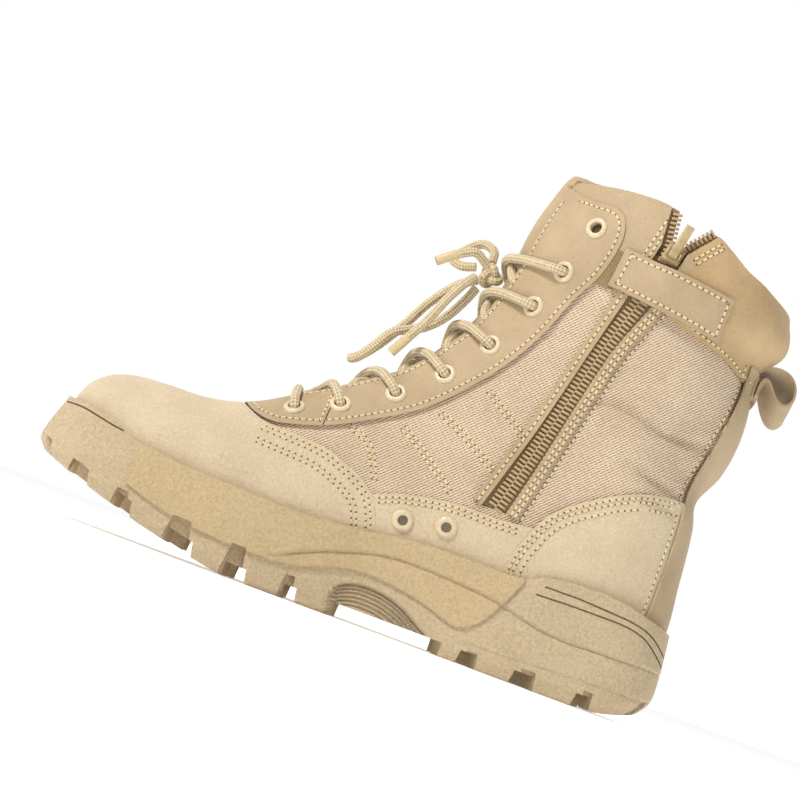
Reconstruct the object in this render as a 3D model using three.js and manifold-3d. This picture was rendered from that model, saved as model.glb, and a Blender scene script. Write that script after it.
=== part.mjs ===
// Combat boot for a right foot, tan, eight inches high, with a side zip, as a three.js scene.
// Millimetres, +Z up. The toe points along -X and the inner (medial) side faces -Y. Every piece
// of the boot is a closed solid in a mesh of its own, about 0.3 mm clear of what it touches.
import * as THREE from 'three';
import { mergeVertices } from 'three/addons/utils/BufferGeometryUtils.js';
import Module from 'manifold-3d';

const wasm = await Module();
wasm.setup();

// ---- Driving dimensions, mm
const TOE_END = -155;
const HEEL_END = 158.5;
const TOE_ROUND = 65; // length of the rounded toe in plan
const HEEL_ROUND = 40;
const TOE_LEAN = 5; // how far the toe cap leans back at its rim
const WALL = 2.4; // upper: outer leather or nylon, foam and lining
const GAP = 0.3; // between pieces that touch
const OVERLAY = 1.3; // proud leather panels
const LUG = 6.5; // tread depth
const TOE_SPRING = 28; // the tread's height at the toe
const SPRING_START = -45; // where the forefoot leaves the ground
const BEVEL_START = 122; // where the heel leaves the ground
const HEEL_BEVEL = 9;
const LACE = 4.5; // diameter
const EYELET_OUTER = 5.2; // radius of the flange
const EYELET_HOLE = 2.9;
const EYELET_HIGH = 1.1;
// The whole boot moves by this, to put the origin under the middle of its box.
const TO_ORIGIN = new THREE.Vector3(-10.09, -1.35, 0);

// ---- Tables
const table = (keys, rows) => rows.map((row, at) => ({
  at, ...Object.fromEntries(keys.map((key, i) => [key, row[i]])),
}));

// Sole in plan: centre line and half width at stations along it, before the ends are rounded.
const PLAN = table(['x', 'centre', 'half'], [
  [-155, -4, 52], [-110, -1, 53], [-85, 0.5, 54], [-60, 1.5, 55], [-40, 2.5, 53], [-15, 4, 48],
  [15, 4.8, 42.5], [45, 3.5, 40.5], [80, 1, 40.5], [110, 0, 40.5], [158.5, -0.5, 39.5],
]);
// Heights along the sole: the footbed inside and the rim that stands up round the upper.
const HEIGHTS = table(['x', 'footbed', 'rim'], [
  [-155, 44, 53.5], [-135, 36.5, 51.3], [-120, 31.5, 48], [-106, 27, 43.4], [-80, 20.5, 40.6],
  [-55, 17.5, 39.5], [-25, 18, 39.3], [0, 21.5, 41.6], [22, 24.5, 44.8], [45, 26, 46.2],
  [78, 27.3, 46.6], [92, 27.8, 51.4], [118, 28, 53], [140, 28, 49.6], [158.5, 28, 45.5],
]);
// Sidewall of the sole, from the tread up: height as a share of the wall, and inset.
const SIDEWALL = table(['share', 'inset'], [[0, 4.5], [0.13, 0.4], [0.45, 0], [1, 2]]);
// The upper's form: sections that fan out from the toe over the instep and up the shaft. Each
// lies in a plane through its top (front) point and its foot (back) point in the middle plane.
// Medial and lateral are its reach from the middle plane, ridge the y of its top, widest where
// along it it is widest (0 foot, 1 top), square and round the roundness below and above that.
const SECTIONS = table(
  ['topX', 'topZ', 'footX', 'footZ', 'medial', 'lateral', 'ridge', 'widest', 'square', 'round'],
  [
    [-146, 50.5, -146, 41, 8, 1, -4, 0.5, 2.5, 2.2],
    [-144.3, 56.5, -144.3, 36, 15, 8, -3.8, 0.42, 3, 2.2],
    [-141, 62.5, -141, 32, 22.5, 16, -3.6, 0.38, 4, 2.2],
    [-134, 68.5, -134, 28, 32, 26, -3.2, 0.35, 5, 2.2],
    [-123, 72.3, -123, 23.5, 39.5, 36, -2.8, 0.33, 6, 2.2],
    [-107, 73.8, -107, 18.5, 45, 43.5, -2.5, 0.32, 6, 2.1],
    [-88, 74.6, -87, 14.5, 47, 47.5, -2.5, 0.32, 6, 2.05],
    [-68, 79.6, -64, 12.5, 46.5, 50, -3, 0.31, 6, 2],
    [-50, 89.8, -38, 12, 43.5, 48.5, -3, 0.31, 6, 1.95],
    [-34, 100.8, -10, 12, 38.5, 45.5, -3, 0.31, 6, 1.95],
    [-20, 111.5, 18, 13, 34, 41.5, -2.5, 0.32, 6, 1.95],
    [-7, 122, 48, 14, 32, 38.8, -2, 0.34, 5, 1.95],
    [3, 133, 80, 15, 32.5, 37, -1.5, 0.36, 4.5, 1.95],
    [10, 143, 112, 16, 34, 36, -1, 0.38, 3.6, 1.95],
    [15.5, 152, 142, 22, 34.5, 35.5, -0.5, 0.38, 2.4, 1.95],
    [19, 160, 152.8, 44, 35, 35.8, 0, 0.39, 2.1, 1.95],
    [22, 167, 151.3, 72, 36, 36.5, 0, 0.39, 2.05, 1.95],
    [24.5, 174, 148.8, 97, 36.5, 37, 0, 0.4, 2.05, 1.95],
    [26.5, 181, 145.8, 111.5, 37.5, 38, 0, 0.41, 2, 1.95],
    [28, 188, 152.6, 127, 38.5, 39, 0, 0.43, 2, 1.95],
    [29.5, 196, 155.4, 144, 40, 40.5, 0, 0.44, 2.1, 2],
    [31, 204, 154.6, 161, 41.5, 42, 0, 0.45, 2.1, 2],
    [33, 213, 150.5, 178, 42.5, 43, 0, 0.45, 2.2, 2],
    [35.5, 222, 159.8, 192, 44, 44.5, 0, 0.46, 2.3, 2],
    [38.5, 232, 159, 204, 44.5, 45, 0, 0.46, 2.3, 2],
    [42, 243, 154.5, 215, 44, 44.5, 0, 0.46, 2.3, 2],
  ],
);
// The throat and the tongue along the sections: half the gap between the eyestays, measured
// round the section, and how far the tongue bulges out of the gap.
const THROAT = table(['section', 'gap', 'bulge'], [
  [7.6, 3, -3.7], [8.4, 8, -1.5], [10, 10, 0.5], [13, 11, 1.5], [17, 12, 2], [21, 13, 5],
  [25, 14, 5],
]);
// Outlines in side view, [x, z].
const COLLAR_LINE = [
  [20, 236], [45, 233.5], [65, 233.5], [82, 232.5], [92, 229.5], [110, 225.5], [118, 221.5],
  [128, 216], [138, 213], [148, 209.5], [165, 206],
];
const ZIP_FRONT = [[50, 72], [56, 92], [62, 112], [69, 140], [73, 157], [80, 186], [86, 214]];
const ZIP_REAR = [[62, 72], [67, 92], [71.5, 112], [78, 142], [83, 162], [92, 186], [98.5, 212]];
const NOTCH = [[86, 213.9], [98.5, 211.9], [110, 226], [112, 245], [84, 245]];
const COUNTER_TOP = [
  [69.5, 40], [70.5, 52], [73, 62], [80, 77], [88, 85], [97, 91.5], [108, 98], [120, 103],
  [134, 106], [160, 106],
];
const EYESTAY_REAR = [
  [-70.5, 80.5], [-64, 76.6], [-57, 74.9], [-50, 75.2], [-30, 81.5], [-10, 92.5], [10, 105.7],
  [30, 126.5], [42, 143], [50, 157.5], [57.5, 176.5], [64.5, 190], [67.8, 202], [68.6, 212],
  [66.3, 220], [61.5, 223.6], [53.5, 224.6],
];
const STRAP = [[71.5, 206], [126, 199.5], [126, 179.5], [69.5, 187.5]];
// The line where the midsole lies on the outsole, with the heel cup's front edge at its end.
const MIDSOLE_LINE = [
  [-104, 60], [-104, 24], [-80, 17.3], [-55, 14.8], [-35, 14.4], [-20, 16], [-10, 19.4], [0, 22.4],
  [10, 23.9], [20, 23.5], [31, 22], [41, 20], [50, 17], [57, 15.4], [64, 18], [70, 24.8], [75, 34],
  [80, 44.5], [84, 60],
];
// Eyelets, bottom to top, and the drain vents.
const EYELETS = [
  [-47, 85], [-27.5, 94], [-5, 108], [13.5, 124.5], [28.8, 145], [41.2, 168.5], [48.8, 188],
  [55.8, 212],
];
const VENTS = [[18.5, 52.5], [38.5, 56.5]];
const LACED = 7; // the top eyelet of each side is empty

// ---- Curves and sections

// The value of a column at a place along a table, on a smooth curve through its rows.
function along(rows, by, key, place) {
  const last = rows.length - 1;
  const at = Math.min(Math.max(place, rows[0][by]), rows[last][by]);
  let i = 0;
  while (i < last - 1 && rows[i + 1][by] < at) i += 1;
  const slope = (j) => {
    const before = rows[Math.max(j - 1, 0)];
    const after = rows[Math.min(j + 1, last)];
    return (after[key] - before[key]) / (after[by] - before[by]);
  };
  const wide = rows[i + 1][by] - rows[i][by];
  const t = (at - rows[i][by]) / wide;
  const rise = t * t * (3 - 2 * t);
  return rows[i][key] * (1 - rise) + rows[i + 1][key] * rise
    + wide * (slope(i) * t * (1 - t) ** 2 - slope(i + 1) * t * t * (1 - t));
}

const height = (key, x) => along(HEIGHTS, 'x', key, x);

// The underside of the lugs: flat under heel and forefoot, with toe spring and a heel bevel.
function tread(x) {
  const toe = Math.max(SPRING_START - x, 0) / (SPRING_START - TOE_END);
  const heel = Math.max(x - BEVEL_START, 0) / (HEEL_END - BEVEL_START);
  return TOE_SPRING * toe ** 1.35 + HEEL_BEVEL * heel ** 1.6;
}

// A section's outline in its own plane, from its top round the medial side: [along, y].
function outline(section) {
  const long = Math.hypot(section.topX - section.footX, section.topZ - section.footZ);
  const points = [];
  const steps = 240;
  for (let i = 0; i <= steps; i += 1) {
    const turn = (2 * Math.PI * i) / steps;
    const [c, s] = [Math.cos(turn), Math.sin(turn)];
    const power = 2 / (c > 0 ? section.round : section.square);
    const reach = Math.sign(c) * Math.abs(c) ** power;
    const up = section.widest + (c > 0 ? 1 - section.widest : section.widest) * reach;
    const half = s > 0 ? section.medial + section.ridge : section.lateral - section.ridge;
    points.push([up * long, section.ridge - Math.sign(s) * half * Math.abs(s) ** power]);
  }
  return points;
}

// The section at a place among the rows, with its outline moved outwards by lift.
function sectionAt(place, lift = 0) {
  const section = Object.fromEntries(
    Object.keys(SECTIONS[0]).map((key) => [key, along(SECTIONS, 'at', key, place)]),
  );
  const points = outline(section);
  const count = points.length - 1;
  const moved = points.map((point, i) => {
    const before = points[(i + count - 1) % count];
    const after = points[(i + 1) % count];
    const [du, dv] = [after[0] - before[0], after[1] - before[1]];
    const long = Math.hypot(du, dv) || 1;
    return [point[0] - (lift * dv) / long, point[1] + (lift * du) / long];
  });
  const lengths = [0];
  for (let i = 1; i <= count; i += 1) {
    const step = Math.hypot(moved[i][0] - moved[i - 1][0], moved[i][1] - moved[i - 1][1]);
    lengths.push(lengths[i - 1] + step);
  }
  return { section, points: moved, lengths, around: lengths[count] };
}

// A point of the upper's surface: the arc is measured from the top, negative on the medial side.
function onSection(cut, arc) {
  const { section, points, lengths, around } = cut;
  const target = (((-arc) % around) + around) % around;
  let i = 0;
  while (i < lengths.length - 2 && lengths[i + 1] < target) i += 1;
  const t = (target - lengths[i]) / (lengths[i + 1] - lengths[i] || 1);
  const up = points[i][0] + (points[i + 1][0] - points[i][0]) * t;
  const y = points[i][1] + (points[i + 1][1] - points[i][1]) * t;
  const long = Math.hypot(section.topX - section.footX, section.topZ - section.footZ);
  return new THREE.Vector3(
    section.footX + ((section.topX - section.footX) * up) / long,
    y,
    section.footZ + ((section.topZ - section.footZ) * up) / long,
  );
}
const surface = (place, arc, lift) => onSection(sectionAt(place, lift), arc);

// ---- Solids

// A solid from vertices and triangles, whichever way round its faces were written.
function toSolid(vertices, triangles) {
  const corner = triangles.map((i) => vertices[i]);
  let volume = 0;
  for (let i = 0; i < corner.length; i += 3) {
    volume += corner[i].dot(corner[i + 1].clone().cross(corner[i + 2]));
  }
  const triVerts = Uint32Array.from(triangles);
  if (volume < 0) triVerts.reverse();
  const vertProperties = Float32Array.from(vertices.flatMap((v) => [v.x, v.y, v.z]));
  return new wasm.Manifold(new wasm.Mesh({ numProp: 3, vertProperties, triVerts }));
}

function fromGeometry(geometry) {
  const bare = geometry.clone();
  bare.deleteAttribute('normal');
  bare.deleteAttribute('uv');
  const merged = mergeVertices(bare, 1e-4);
  const place = merged.getAttribute('position');
  const vertices = Array.from({ length: place.count }, (_, i) => (
    new THREE.Vector3().fromBufferAttribute(place, i)));
  return toSolid(vertices, Array.from(merged.index.array));
}

// The triangles that join each ring to the next, for rings of count points.
function bands(rings, count) {
  const triangles = [];
  for (let r = 0; r + 1 < rings; r += 1) {
    for (let i = 0; i < count; i += 1) {
      const [a, b] = [r * count + i, r * count + ((i + 1) % count)];
      triangles.push(a, b, b + count, a, b + count, a + count);
    }
  }
  return triangles;
}

// A solid through a row of rings of equal count, closed by a fan at each end.
function loft(rings) {
  const count = rings[0].length;
  const vertices = rings.flat();
  const triangles = bands(rings.length, count);
  [0, rings.length - 1].forEach((r, end) => {
    const middle = vertices.length;
    vertices.push(rings[r].reduce((sum, v) => sum.add(v), new THREE.Vector3())
      .divideScalar(count));
    for (let i = 0; i < count; i += 1) {
      const [a, b] = [r * count + i, r * count + ((i + 1) % count)];
      triangles.push(...(end ? [middle, a, b] : [middle, b, a]));
    }
  });
  return toSolid(vertices, triangles);
}

// An outline in side view, extruded across the boot.
function acrossBoot(points, fromY, toY) {
  const shape = new THREE.Shape(points.map(([x, z]) => new THREE.Vector2(x, z)));
  const geometry = new THREE.ExtrudeGeometry(shape, { depth: toY - fromY, bevelEnabled: false });
  return fromGeometry(geometry.rotateX(Math.PI / 2).translate(0, toY, 0));
}

// An outline in plan, extruded upwards.
function upright(points, fromZ, toZ) {
  const shape = new THREE.Shape(points.map(([x, y]) => new THREE.Vector2(x, y)));
  const geometry = new THREE.ExtrudeGeometry(shape, { depth: toZ - fromZ, bevelEnabled: false });
  return fromGeometry(geometry.translate(0, 0, fromZ));
}

// The points of an open outline, each moved sideways by d (to its right, seen along it).
function sideways(points, d) {
  return points.map((point, i) => {
    const before = points[Math.max(i - 1, 0)];
    const after = points[Math.min(i + 1, points.length - 1)];
    const [dx, dz] = [after[0] - before[0], after[1] - before[1]];
    const long = Math.hypot(dx, dz);
    return [point[0] + (d * dz) / long, point[1] - (d * dx) / long];
  });
}

const WIDE = 80; // further to each side than any piece reaches
const DEEP = -40; // below every piece
const HIGH = 260; // above every piece
const stations = (from, to, step) => {
  const count = Math.ceil((to - from) / step);
  return Array.from({ length: count + 1 }, (_, i) => from + ((to - from) * i) / count);
};

// Everything below a line over the whole boot.
function below(line) {
  const points = stations(-165, 165, 11).map((x) => [x, line(x)]);
  return acrossBoot([[-165, DEEP], ...points, [165, DEEP]], -WIDE, WIDE);
}

// The upper's full form, with its surface moved outwards by lift.
const AROUND = 24;
function form(lift, first = 0) {
  const rings = SECTIONS.slice(first).map(({ at }) => {
    const cut = sectionAt(at, lift);
    return Array.from({ length: AROUND }, (_, i) => onSection(cut, (cut.around * i) / AROUND));
  });
  rings[0].forEach((point) => point.setX(point.x - lift));
  return loft(rings);
}

// What lies between two moved forms: a skin on the upper.
const skin = (from, to) => form(to).subtract(form(from));

// ---- Sole

// The sole's plan, moved inwards by inset: pairs of points [x, medial y, lateral y].
function plan(inset) {
  const steps = 30;
  const [from, to] = [TOE_END + inset, HEEL_END - inset];
  return Array.from({ length: steps + 1 }, (_, i) => {
    const x = (from + to) / 2 - ((to - from) / 2) * Math.cos((Math.PI * i) / steps);
    const toe = Math.max(1 - (x - from) / (TOE_ROUND - inset), 0);
    const heel = Math.max(1 - (to - x) / (HEEL_ROUND - inset), 0);
    const round = (1 - toe ** 2.3) ** (1 / 2.3) * (1 - heel ** 2.2) ** (1 / 2.2);
    const half = (along(PLAN, 'x', 'half', x) - inset) * round;
    const centre = along(PLAN, 'x', 'centre', x);
    return { x, medial: centre - half, lateral: centre + half };
  });
}

// A solid of the sole's plan between two lines of height, through the rows of the sidewall.
function soleBlock(bottom, top, rows) {
  const rings = rows.map(({ share, inset }) => {
    const places = plan(inset);
    const at = (x, y) => {
      const near = Math.max(1 - (x - TOE_END) / TOE_ROUND, 0);
      return new THREE.Vector3(
        x + TOE_LEAN * share * near ** 2, y, bottom(x) + (top(x) - bottom(x)) * share);
    };
    const medial = places.map((row) => at(row.x, row.medial));
    const lateral = places.slice(1, -1).reverse().map((row) => at(row.x, row.lateral));
    return [...medial, ...lateral];
  });
  const count = rings[0].length;
  const vertices = rings.flat();
  const triangles = bands(rings.length, count);
  // Bottom and top are strips between the medial and the lateral side.
  const half = count / 2;
  [0, (rings.length - 1) * count].forEach((base, end) => {
    for (let i = 0; i < half; i += 1) {
      const [a, b] = [base + i, base + i + 1];
      const [c, d] = [base + ((count - i) % count), base + count - i - 1];
      const faces = i === 0 ? [a, d, b] : i === half - 1 ? [a, c, b] : [a, c, d, a, d, b];
      triangles.push(...(end ? faces.reverse() : faces));
    }
  });
  return toSolid(vertices, triangles);
}

// Lugs in plan: a row of edge lugs on each side and a staggered row of chevrons between them,
// with one wide lug at the toe and one at the back of the heel.
const EDGE_LUGS = table(['from', 'to'], [
  [-148, -133], [-123.5, -108.5], [-99.5, -81.5], [-67.5, -52], [-41, -24], [-17, -1],
  [56, 65], [73, 91], [101, 121], [128, 158],
]);
const MIDDLE_LUGS = table(['from', 'to', 'half'], [
  [-156, -142, 26], [-133, -119, 13], [-111, -97, 13], [-88, -72, 13], [-62, -46, 13],
  [-36, -21, 13], [-11, 5, 13], [62, 77, 13], [87, 103, 13], [112, 126, 13], [141, 166, 26],
]);
const EDGE_LUG_DEEP = 24; // how far an edge lug reaches in from the sidewall
const LUG_SLANT = 4;
const LUG_TOP = 50; // above every tread
const CHEVRON = 5; // how far a middle lug's point stands forward

function lugs() {
  const solids = [];
  EDGE_LUGS.forEach(({ from, to }) => [-1, 1].forEach((side) => {
    const middle = (from + to) / 2;
    const centre = along(PLAN, 'x', 'centre', middle);
    const half = along(PLAN, 'x', 'half', middle);
    const inner = centre + side * Math.max(half - EDGE_LUG_DEEP, 18);
    const outer = centre + side * (half + 10);
    const slant = middle < 0 ? LUG_SLANT : -LUG_SLANT;
    const points = [[from, outer], [to, outer], [to + slant, inner], [from + slant, inner]];
    solids.push(upright(side < 0 ? points : points.reverse(), DEEP, LUG_TOP));
  }));
  MIDDLE_LUGS.forEach(({ from, to, half }) => {
    const centre = along(PLAN, 'x', 'centre', (from + to) / 2);
    const [left, right] = [centre - half, centre + half];
    solids.push(upright([
      [from, left], [from - CHEVRON, centre], [from, right],
      [to, right], [to - CHEVRON, centre], [to, left],
    ].reverse(), DEEP, LUG_TOP));
  });
  return wasm.Manifold.union(solids);
}

function makeSole() {
  const block = soleBlock(tread, (x) => height('rim', x), SIDEWALL);
  const between = below((x) => tread(x) + LUG).subtract(lugs());
  const cavity = form(GAP).subtract(below((x) => height('footbed', x)));
  const sole = block.subtract(between).subtract(cavity);
  const region = (d) => acrossBoot(
    sideways(MIDSOLE_LINE, -d).map(([x, z], i, all) => (
      i === 0 || i === all.length - 1 ? [x, HIGH] : [x, z])), -WIDE, WIDE);
  return { outsole: sole.subtract(region(0)), midsole: sole.intersect(region(GAP)) };
}

// ---- Upper and what is sewn to it

// A block over the throat: the middle of each section's front, as far as the gap reaches.
function throat(extra = 0) {
  const rings = THROAT.flatMap((row, i) => {
    const next = THROAT[i + 1];
    const places = next ? [row.section, (row.section + next.section) / 2] : [row.section];
    return places.map((place) => {
      const gap = along(THROAT, 'section', 'gap', place) + extra;
      const cut = sectionAt(place);
      const { topX, topZ, footX, footZ } = cut.section;
      const up = new THREE.Vector3(topX - footX, 0, topZ - footZ).normalize();
      const [left, right] = [onSection(cut, -gap), onSection(cut, gap)];
      const [low, high] = [-8, 16];
      return [
        left.clone().addScaledVector(up, low), right.clone().addScaledVector(up, low),
        right.clone().addScaledVector(up, high), left.clone().addScaledVector(up, high),
      ];
    });
  });
  return loft(rings);
}

const underCollar = () => acrossBoot([...COLLAR_LINE, [165, DEEP], [20, DEEP],
  [-170, DEEP], [-170, 236]].reverse(), -WIDE, WIDE);
const zipSlot = (d) => {
  const front = sideways(ZIP_FRONT, d);
  const rear = sideways(ZIP_REAR, -d);
  return [...front, ...rear.reverse()];
};

function makeUpper() {
  const shell = form(0).subtract(form(-WALL));
  const open = below((x) => height('footbed', x) + GAP);
  const top = acrossBoot([[0, HIGH + 20], ...COLLAR_LINE, [165, HIGH + 20]].reverse(), -WIDE, WIDE);
  const slot = acrossBoot(zipSlot(0), -WIDE, 0);
  const notch = acrossBoot(NOTCH, -WIDE, 0);
  return shell.subtract(open).subtract(top).subtract(throat()).subtract(slot).subtract(notch);
}

function makeInsole() {
  const slab = below((x) => height('footbed', x) + GAP + 3.5)
    .subtract(below((x) => height('footbed', x) + GAP));
  return form(-WALL - 3 * GAP, 2).intersect(slab);
}

const TONGUE_UNDER = WALL + 1.3; // how deep its edges lie, inside the wall

// How far the tongue's outer face stands from the upper's surface.
function tongueLift(place, arc) {
  const gap = along(THROAT, 'section', 'gap', place);
  const inside = Math.max(1 - Math.abs(arc) / gap, 0);
  const rise = inside * inside * (3 - 2 * inside);
  return -TONGUE_UNDER + (TONGUE_UNDER + along(THROAT, 'section', 'bulge', place)) * rise;
}

const TONGUE_ARCS = [-25, -17, -10, -5, 0, 5, 10, 17, 25];
const TONGUE_ROWS = [7, 24]; // the sections where it starts and ends
const TONGUE_THICK = 4.5;
function makeTongue() {
  const rings = SECTIONS.slice(TONGUE_ROWS[0], TONGUE_ROWS[1] + 1).map(({ at }) => {
    const taper = Math.min(1, 0.55 + (at - TONGUE_ROWS[0]) / 6);
    const face = (arc, deep) => surface(at, arc * taper, tongueLift(at, arc * taper) - deep);
    return [
      ...TONGUE_ARCS.map((arc) => face(arc, 0)),
      ...[...TONGUE_ARCS].reverse().map((arc) => face(arc, TONGUE_THICK)),
    ];
  });
  return loft(rings);
}

function makeCounter() {
  const bottom = stations(69.5, 160, 9).map((x) => [x, height('rim', x) + 2 * GAP]);
  const pattern = [...COUNTER_TOP.slice(1), ...bottom.reverse()];
  return skin(GAP, GAP + OVERLAY).intersect(acrossBoot(pattern.reverse(), -WIDE, WIDE));
}

function makeEyestay(side) {
  const front = [[30, 236], [-72, 120]];
  const pattern = [...EYESTAY_REAR, [45, 226], ...front];
  const [from, to] = side < 0 ? [-WIDE, -2] : [-2, WIDE];
  return skin(GAP, GAP + OVERLAY)
    .intersect(acrossBoot(pattern.reverse(), from, to)).subtract(throat(1));
}

function makeStrap() {
  return skin(GAP + OVERLAY, GAP + OVERLAY + 2).intersect(acrossBoot(STRAP, -WIDE, 0));
}

function makeZipChain() {
  const foot = ZIP_FRONT[0][1] + GAP;
  return skin(-WALL + 0.3, -0.1).intersect(acrossBoot(zipSlot(GAP), -WIDE, 0))
    .subtract(below(() => foot));
}

// Pull loop: a leather strip from the back stay, folded into an open loop. Path in side view.
const LOOP_PATH = [
  [155.4, 167], [153.6, 173], [153.4, 177.6], [155.2, 181.2], [158, 183], [163.4, 184],
  [169.2, 182.4], [173, 177.6], [173.3, 171.4], [170.8, 168.4], [167.2, 168.8], [163.9, 171.8],
  [161.2, 175.4], [158.8, 177.4], [157, 176.2], [156.7, 172.6], [158, 168.4],
];
const LOOP_WIDE = 22;
const LOOP_THICK = 1.7;

function makePullLoop() {
  const left = sideways(LOOP_PATH, LOOP_THICK / 2);
  const right = sideways(LOOP_PATH, -LOOP_THICK / 2);
  return acrossBoot([...left, ...right.reverse()], -LOOP_WIDE / 2, LOOP_WIDE / 2);
}

// ---- Hardware

// Where a line across the boot meets a piece first, with the direction that its face looks in.
function hit(mesh, x, z, side) {
  const ray = new THREE.Raycaster(
    new THREE.Vector3(x, side * 200, z), new THREE.Vector3(0, -side, 0));
  const [first] = ray.intersectObject(mesh);
  return { point: first.point, normal: first.face.normal.clone() };
}

function facing(geometry, { point, normal }, lift) {
  const turn = new THREE.Quaternion().setFromUnitVectors(new THREE.Vector3(0, 1, 0), normal);
  return geometry.applyQuaternion(turn)
    .translate(...point.clone().addScaledVector(normal, lift).toArray());
}

function ringGeometry(inner, outer, high, sides) {
  const profile = [[inner, 0], [outer, 0], [outer - 0.6, high], [inner, high], [inner, 0]];
  return new THREE.LatheGeometry(profile.map(([r, y]) => new THREE.Vector2(r, y)), sides);
}

// Zip slider and pull tab, in the slider's own axes: X across the zip, Y up along it, Z outwards.
const SLIDER = { wide: 9, long: 10, high: 2.2, post: 1.2, bar: 0.7, eye: 2.1 };
const SLIDER_AT = [93, 210.3];
const PULL = { wide: 4.2, long: 15, thick: 1.4 };
const BAR_HIGH = SLIDER.high + SLIDER.eye + 0.5;

function alongX(points, wide, holes = []) {
  const shape = new THREE.Shape(points.map(([y, z]) => new THREE.Vector2(y, z)));
  shape.holes.push(...holes);
  const geometry = new THREE.ExtrudeGeometry(shape, { depth: wide, bevelEnabled: false });
  // The shape's axes become Y and Z, and it is extruded along X, centred.
  const turn = new THREE.Matrix4().makeBasis(
    new THREE.Vector3(0, 1, 0), new THREE.Vector3(0, 0, 1), new THREE.Vector3(1, 0, 0));
  return geometry.applyMatrix4(turn).translate(-wide / 2, 0, 0);
}

const circle = (radius, sides, y = 0, z = 0) => Array.from({ length: sides }, (_, i) => {
  const turn = (2 * Math.PI * (i + 0.5)) / sides;
  return [y + radius * Math.cos(turn), z + radius * Math.sin(turn)];
});

function makeSlider() {
  const { wide, long, high, post, bar } = SLIDER;
  const half = long / 2;
  const base = alongX([[-half, 0], [half, 0], [half - 1.5, high], [-half + 1.5, high]], wide);
  const posts = [-1, 1].map((side) => fromGeometry(alongX(
    [[-2, high - 0.5], [2, high - 0.5], [1.2, BAR_HIGH + 1.2], [-1.2, BAR_HIGH + 1.2]], post,
  ).translate(side * (PULL.wide / 2 + 0.35 + post / 2), 0, 0)));
  const pin = fromGeometry(alongX(circle(bar, 8, 0, BAR_HIGH), PULL.wide + 2));
  return wasm.Manifold.union([fromGeometry(base), ...posts, pin]);
}

// Turns and moves a piece from the slider's axes to its place on the zip.
function ontoZip(solid, chain) {
  const { point, normal } = hit(chain, ...SLIDER_AT, -1);
  const [low, high] = [ZIP_FRONT.at(-2), ZIP_FRONT.at(-1)];
  const up = new THREE.Vector3(high[0] - low[0], 0, high[1] - low[1]).projectOnPlane(normal);
  up.normalize();
  const place = new THREE.Matrix4().makeBasis(up.clone().cross(normal), up, normal)
    .setPosition(point.addScaledVector(normal, 2 * GAP));
  return solid.transform(place.toArray());
}

function makePull() {
  const eye = fromGeometry(alongX(circle(SLIDER.eye, 12, 0, BAR_HIGH), PULL.wide));
  const tab = fromGeometry(alongX([
    [0, BAR_HIGH - PULL.thick / 2], [PULL.long, BAR_HIGH - PULL.thick / 2],
    [PULL.long, BAR_HIGH + PULL.thick / 2], [0, BAR_HIGH + PULL.thick / 2],
  ], PULL.wide));
  const hole = fromGeometry(alongX(circle(SLIDER.bar + 0.4, 12, 0, BAR_HIGH), PULL.wide + 2));
  return eye.add(tab).subtract(hole);
}

// ---- Laces

// A tube along a smooth curve through points, or along straight steps between them.
function tube(points, steps, sides = 8) {
  const curve = new THREE.CatmullRomCurve3(points, false, 'centripetal');
  const ring = new THREE.Shape(Array.from({ length: sides }, (_, i) => {
    const turn = (2 * Math.PI * i) / sides;
    return new THREE.Vector2(Math.cos(turn) * LACE / 2, Math.sin(turn) * LACE / 2);
  }));
  return fromGeometry(new THREE.ExtrudeGeometry(ring, {
    steps, extrudePath: curve, bevelEnabled: false }));
}

// Where a point of the side view lies on the upper: its place among the sections and its arc.
function locate(x, z, side) {
  const off = (place) => {
    const [footX, footZ, topX, topZ] = ['footX', 'footZ', 'topX', 'topZ']
      .map((key) => along(SECTIONS, 'at', key, place));
    return (topX - footX) * (z - footZ) - (topZ - footZ) * (x - footX);
  };
  const places = stations(6.5, SECTIONS.length - 1, 0.05);
  const place = places.find((p, i) => i > 0 && off(p) * off(places[i - 1]) <= 0);
  const cut = sectionAt(place);
  const arcs = stations(4, 70, 0.5).map((arc) => side * arc);
  const gaps = arcs.map((arc) => {
    const point = onSection(cut, arc);
    return Math.hypot(point.x - x, point.z - z);
  });
  return { place, arc: arcs[gaps.indexOf(Math.min(...gaps))] };
}

const OVER_EYELET = 6 * GAP + OVERLAY + EYELET_HIGH + LACE / 2;
const OVER_TONGUE = 3 * GAP + LACE / 2;

// The lace lies over the eyestay from an eyelet, crosses the tongue to halfway down to the next
// pair and goes under the other eyestay. The lowest one is a bar straight across.
function strand(row, side) {
  const from = locate(...EYELETS[row], side);
  if (row === 0) {
    const bar = [1, 0.7, 0.35, 0, -0.35, -0.7, -1].map((share) => {
      const arc = from.arc * share;
      return surface(from.place, arc, Math.max(OVER_EYELET, tongueLift(from.place, 0) + 4));
    });
    return tube(bar, 10);
  }
  const lower = locate(...EYELETS[row - 1], side).place;
  const middle = (from.place + lower) / 2;
  const gap = along(THROAT, 'section', 'gap', middle);
  const edge = side * (gap + 1.5);
  const edgePlace = from.place + (middle - from.place) * (1 - edge / from.arc);
  const end = middle + (lower - middle) * 0.5;
  const over = (place, arc) => Math.max(tongueLift(place, arc), -1) + OVER_TONGUE;
  return tube([
    surface(from.place, from.arc, OVER_EYELET),
    surface(edgePlace, edge, OVER_EYELET - 0.6),
    surface(middle, 0, Math.max(over(middle, 0), OVER_EYELET - 1.2)),
    surface(end, -side * (gap - 5), over(end, gap - 5)),
  ], 8);
}

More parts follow.
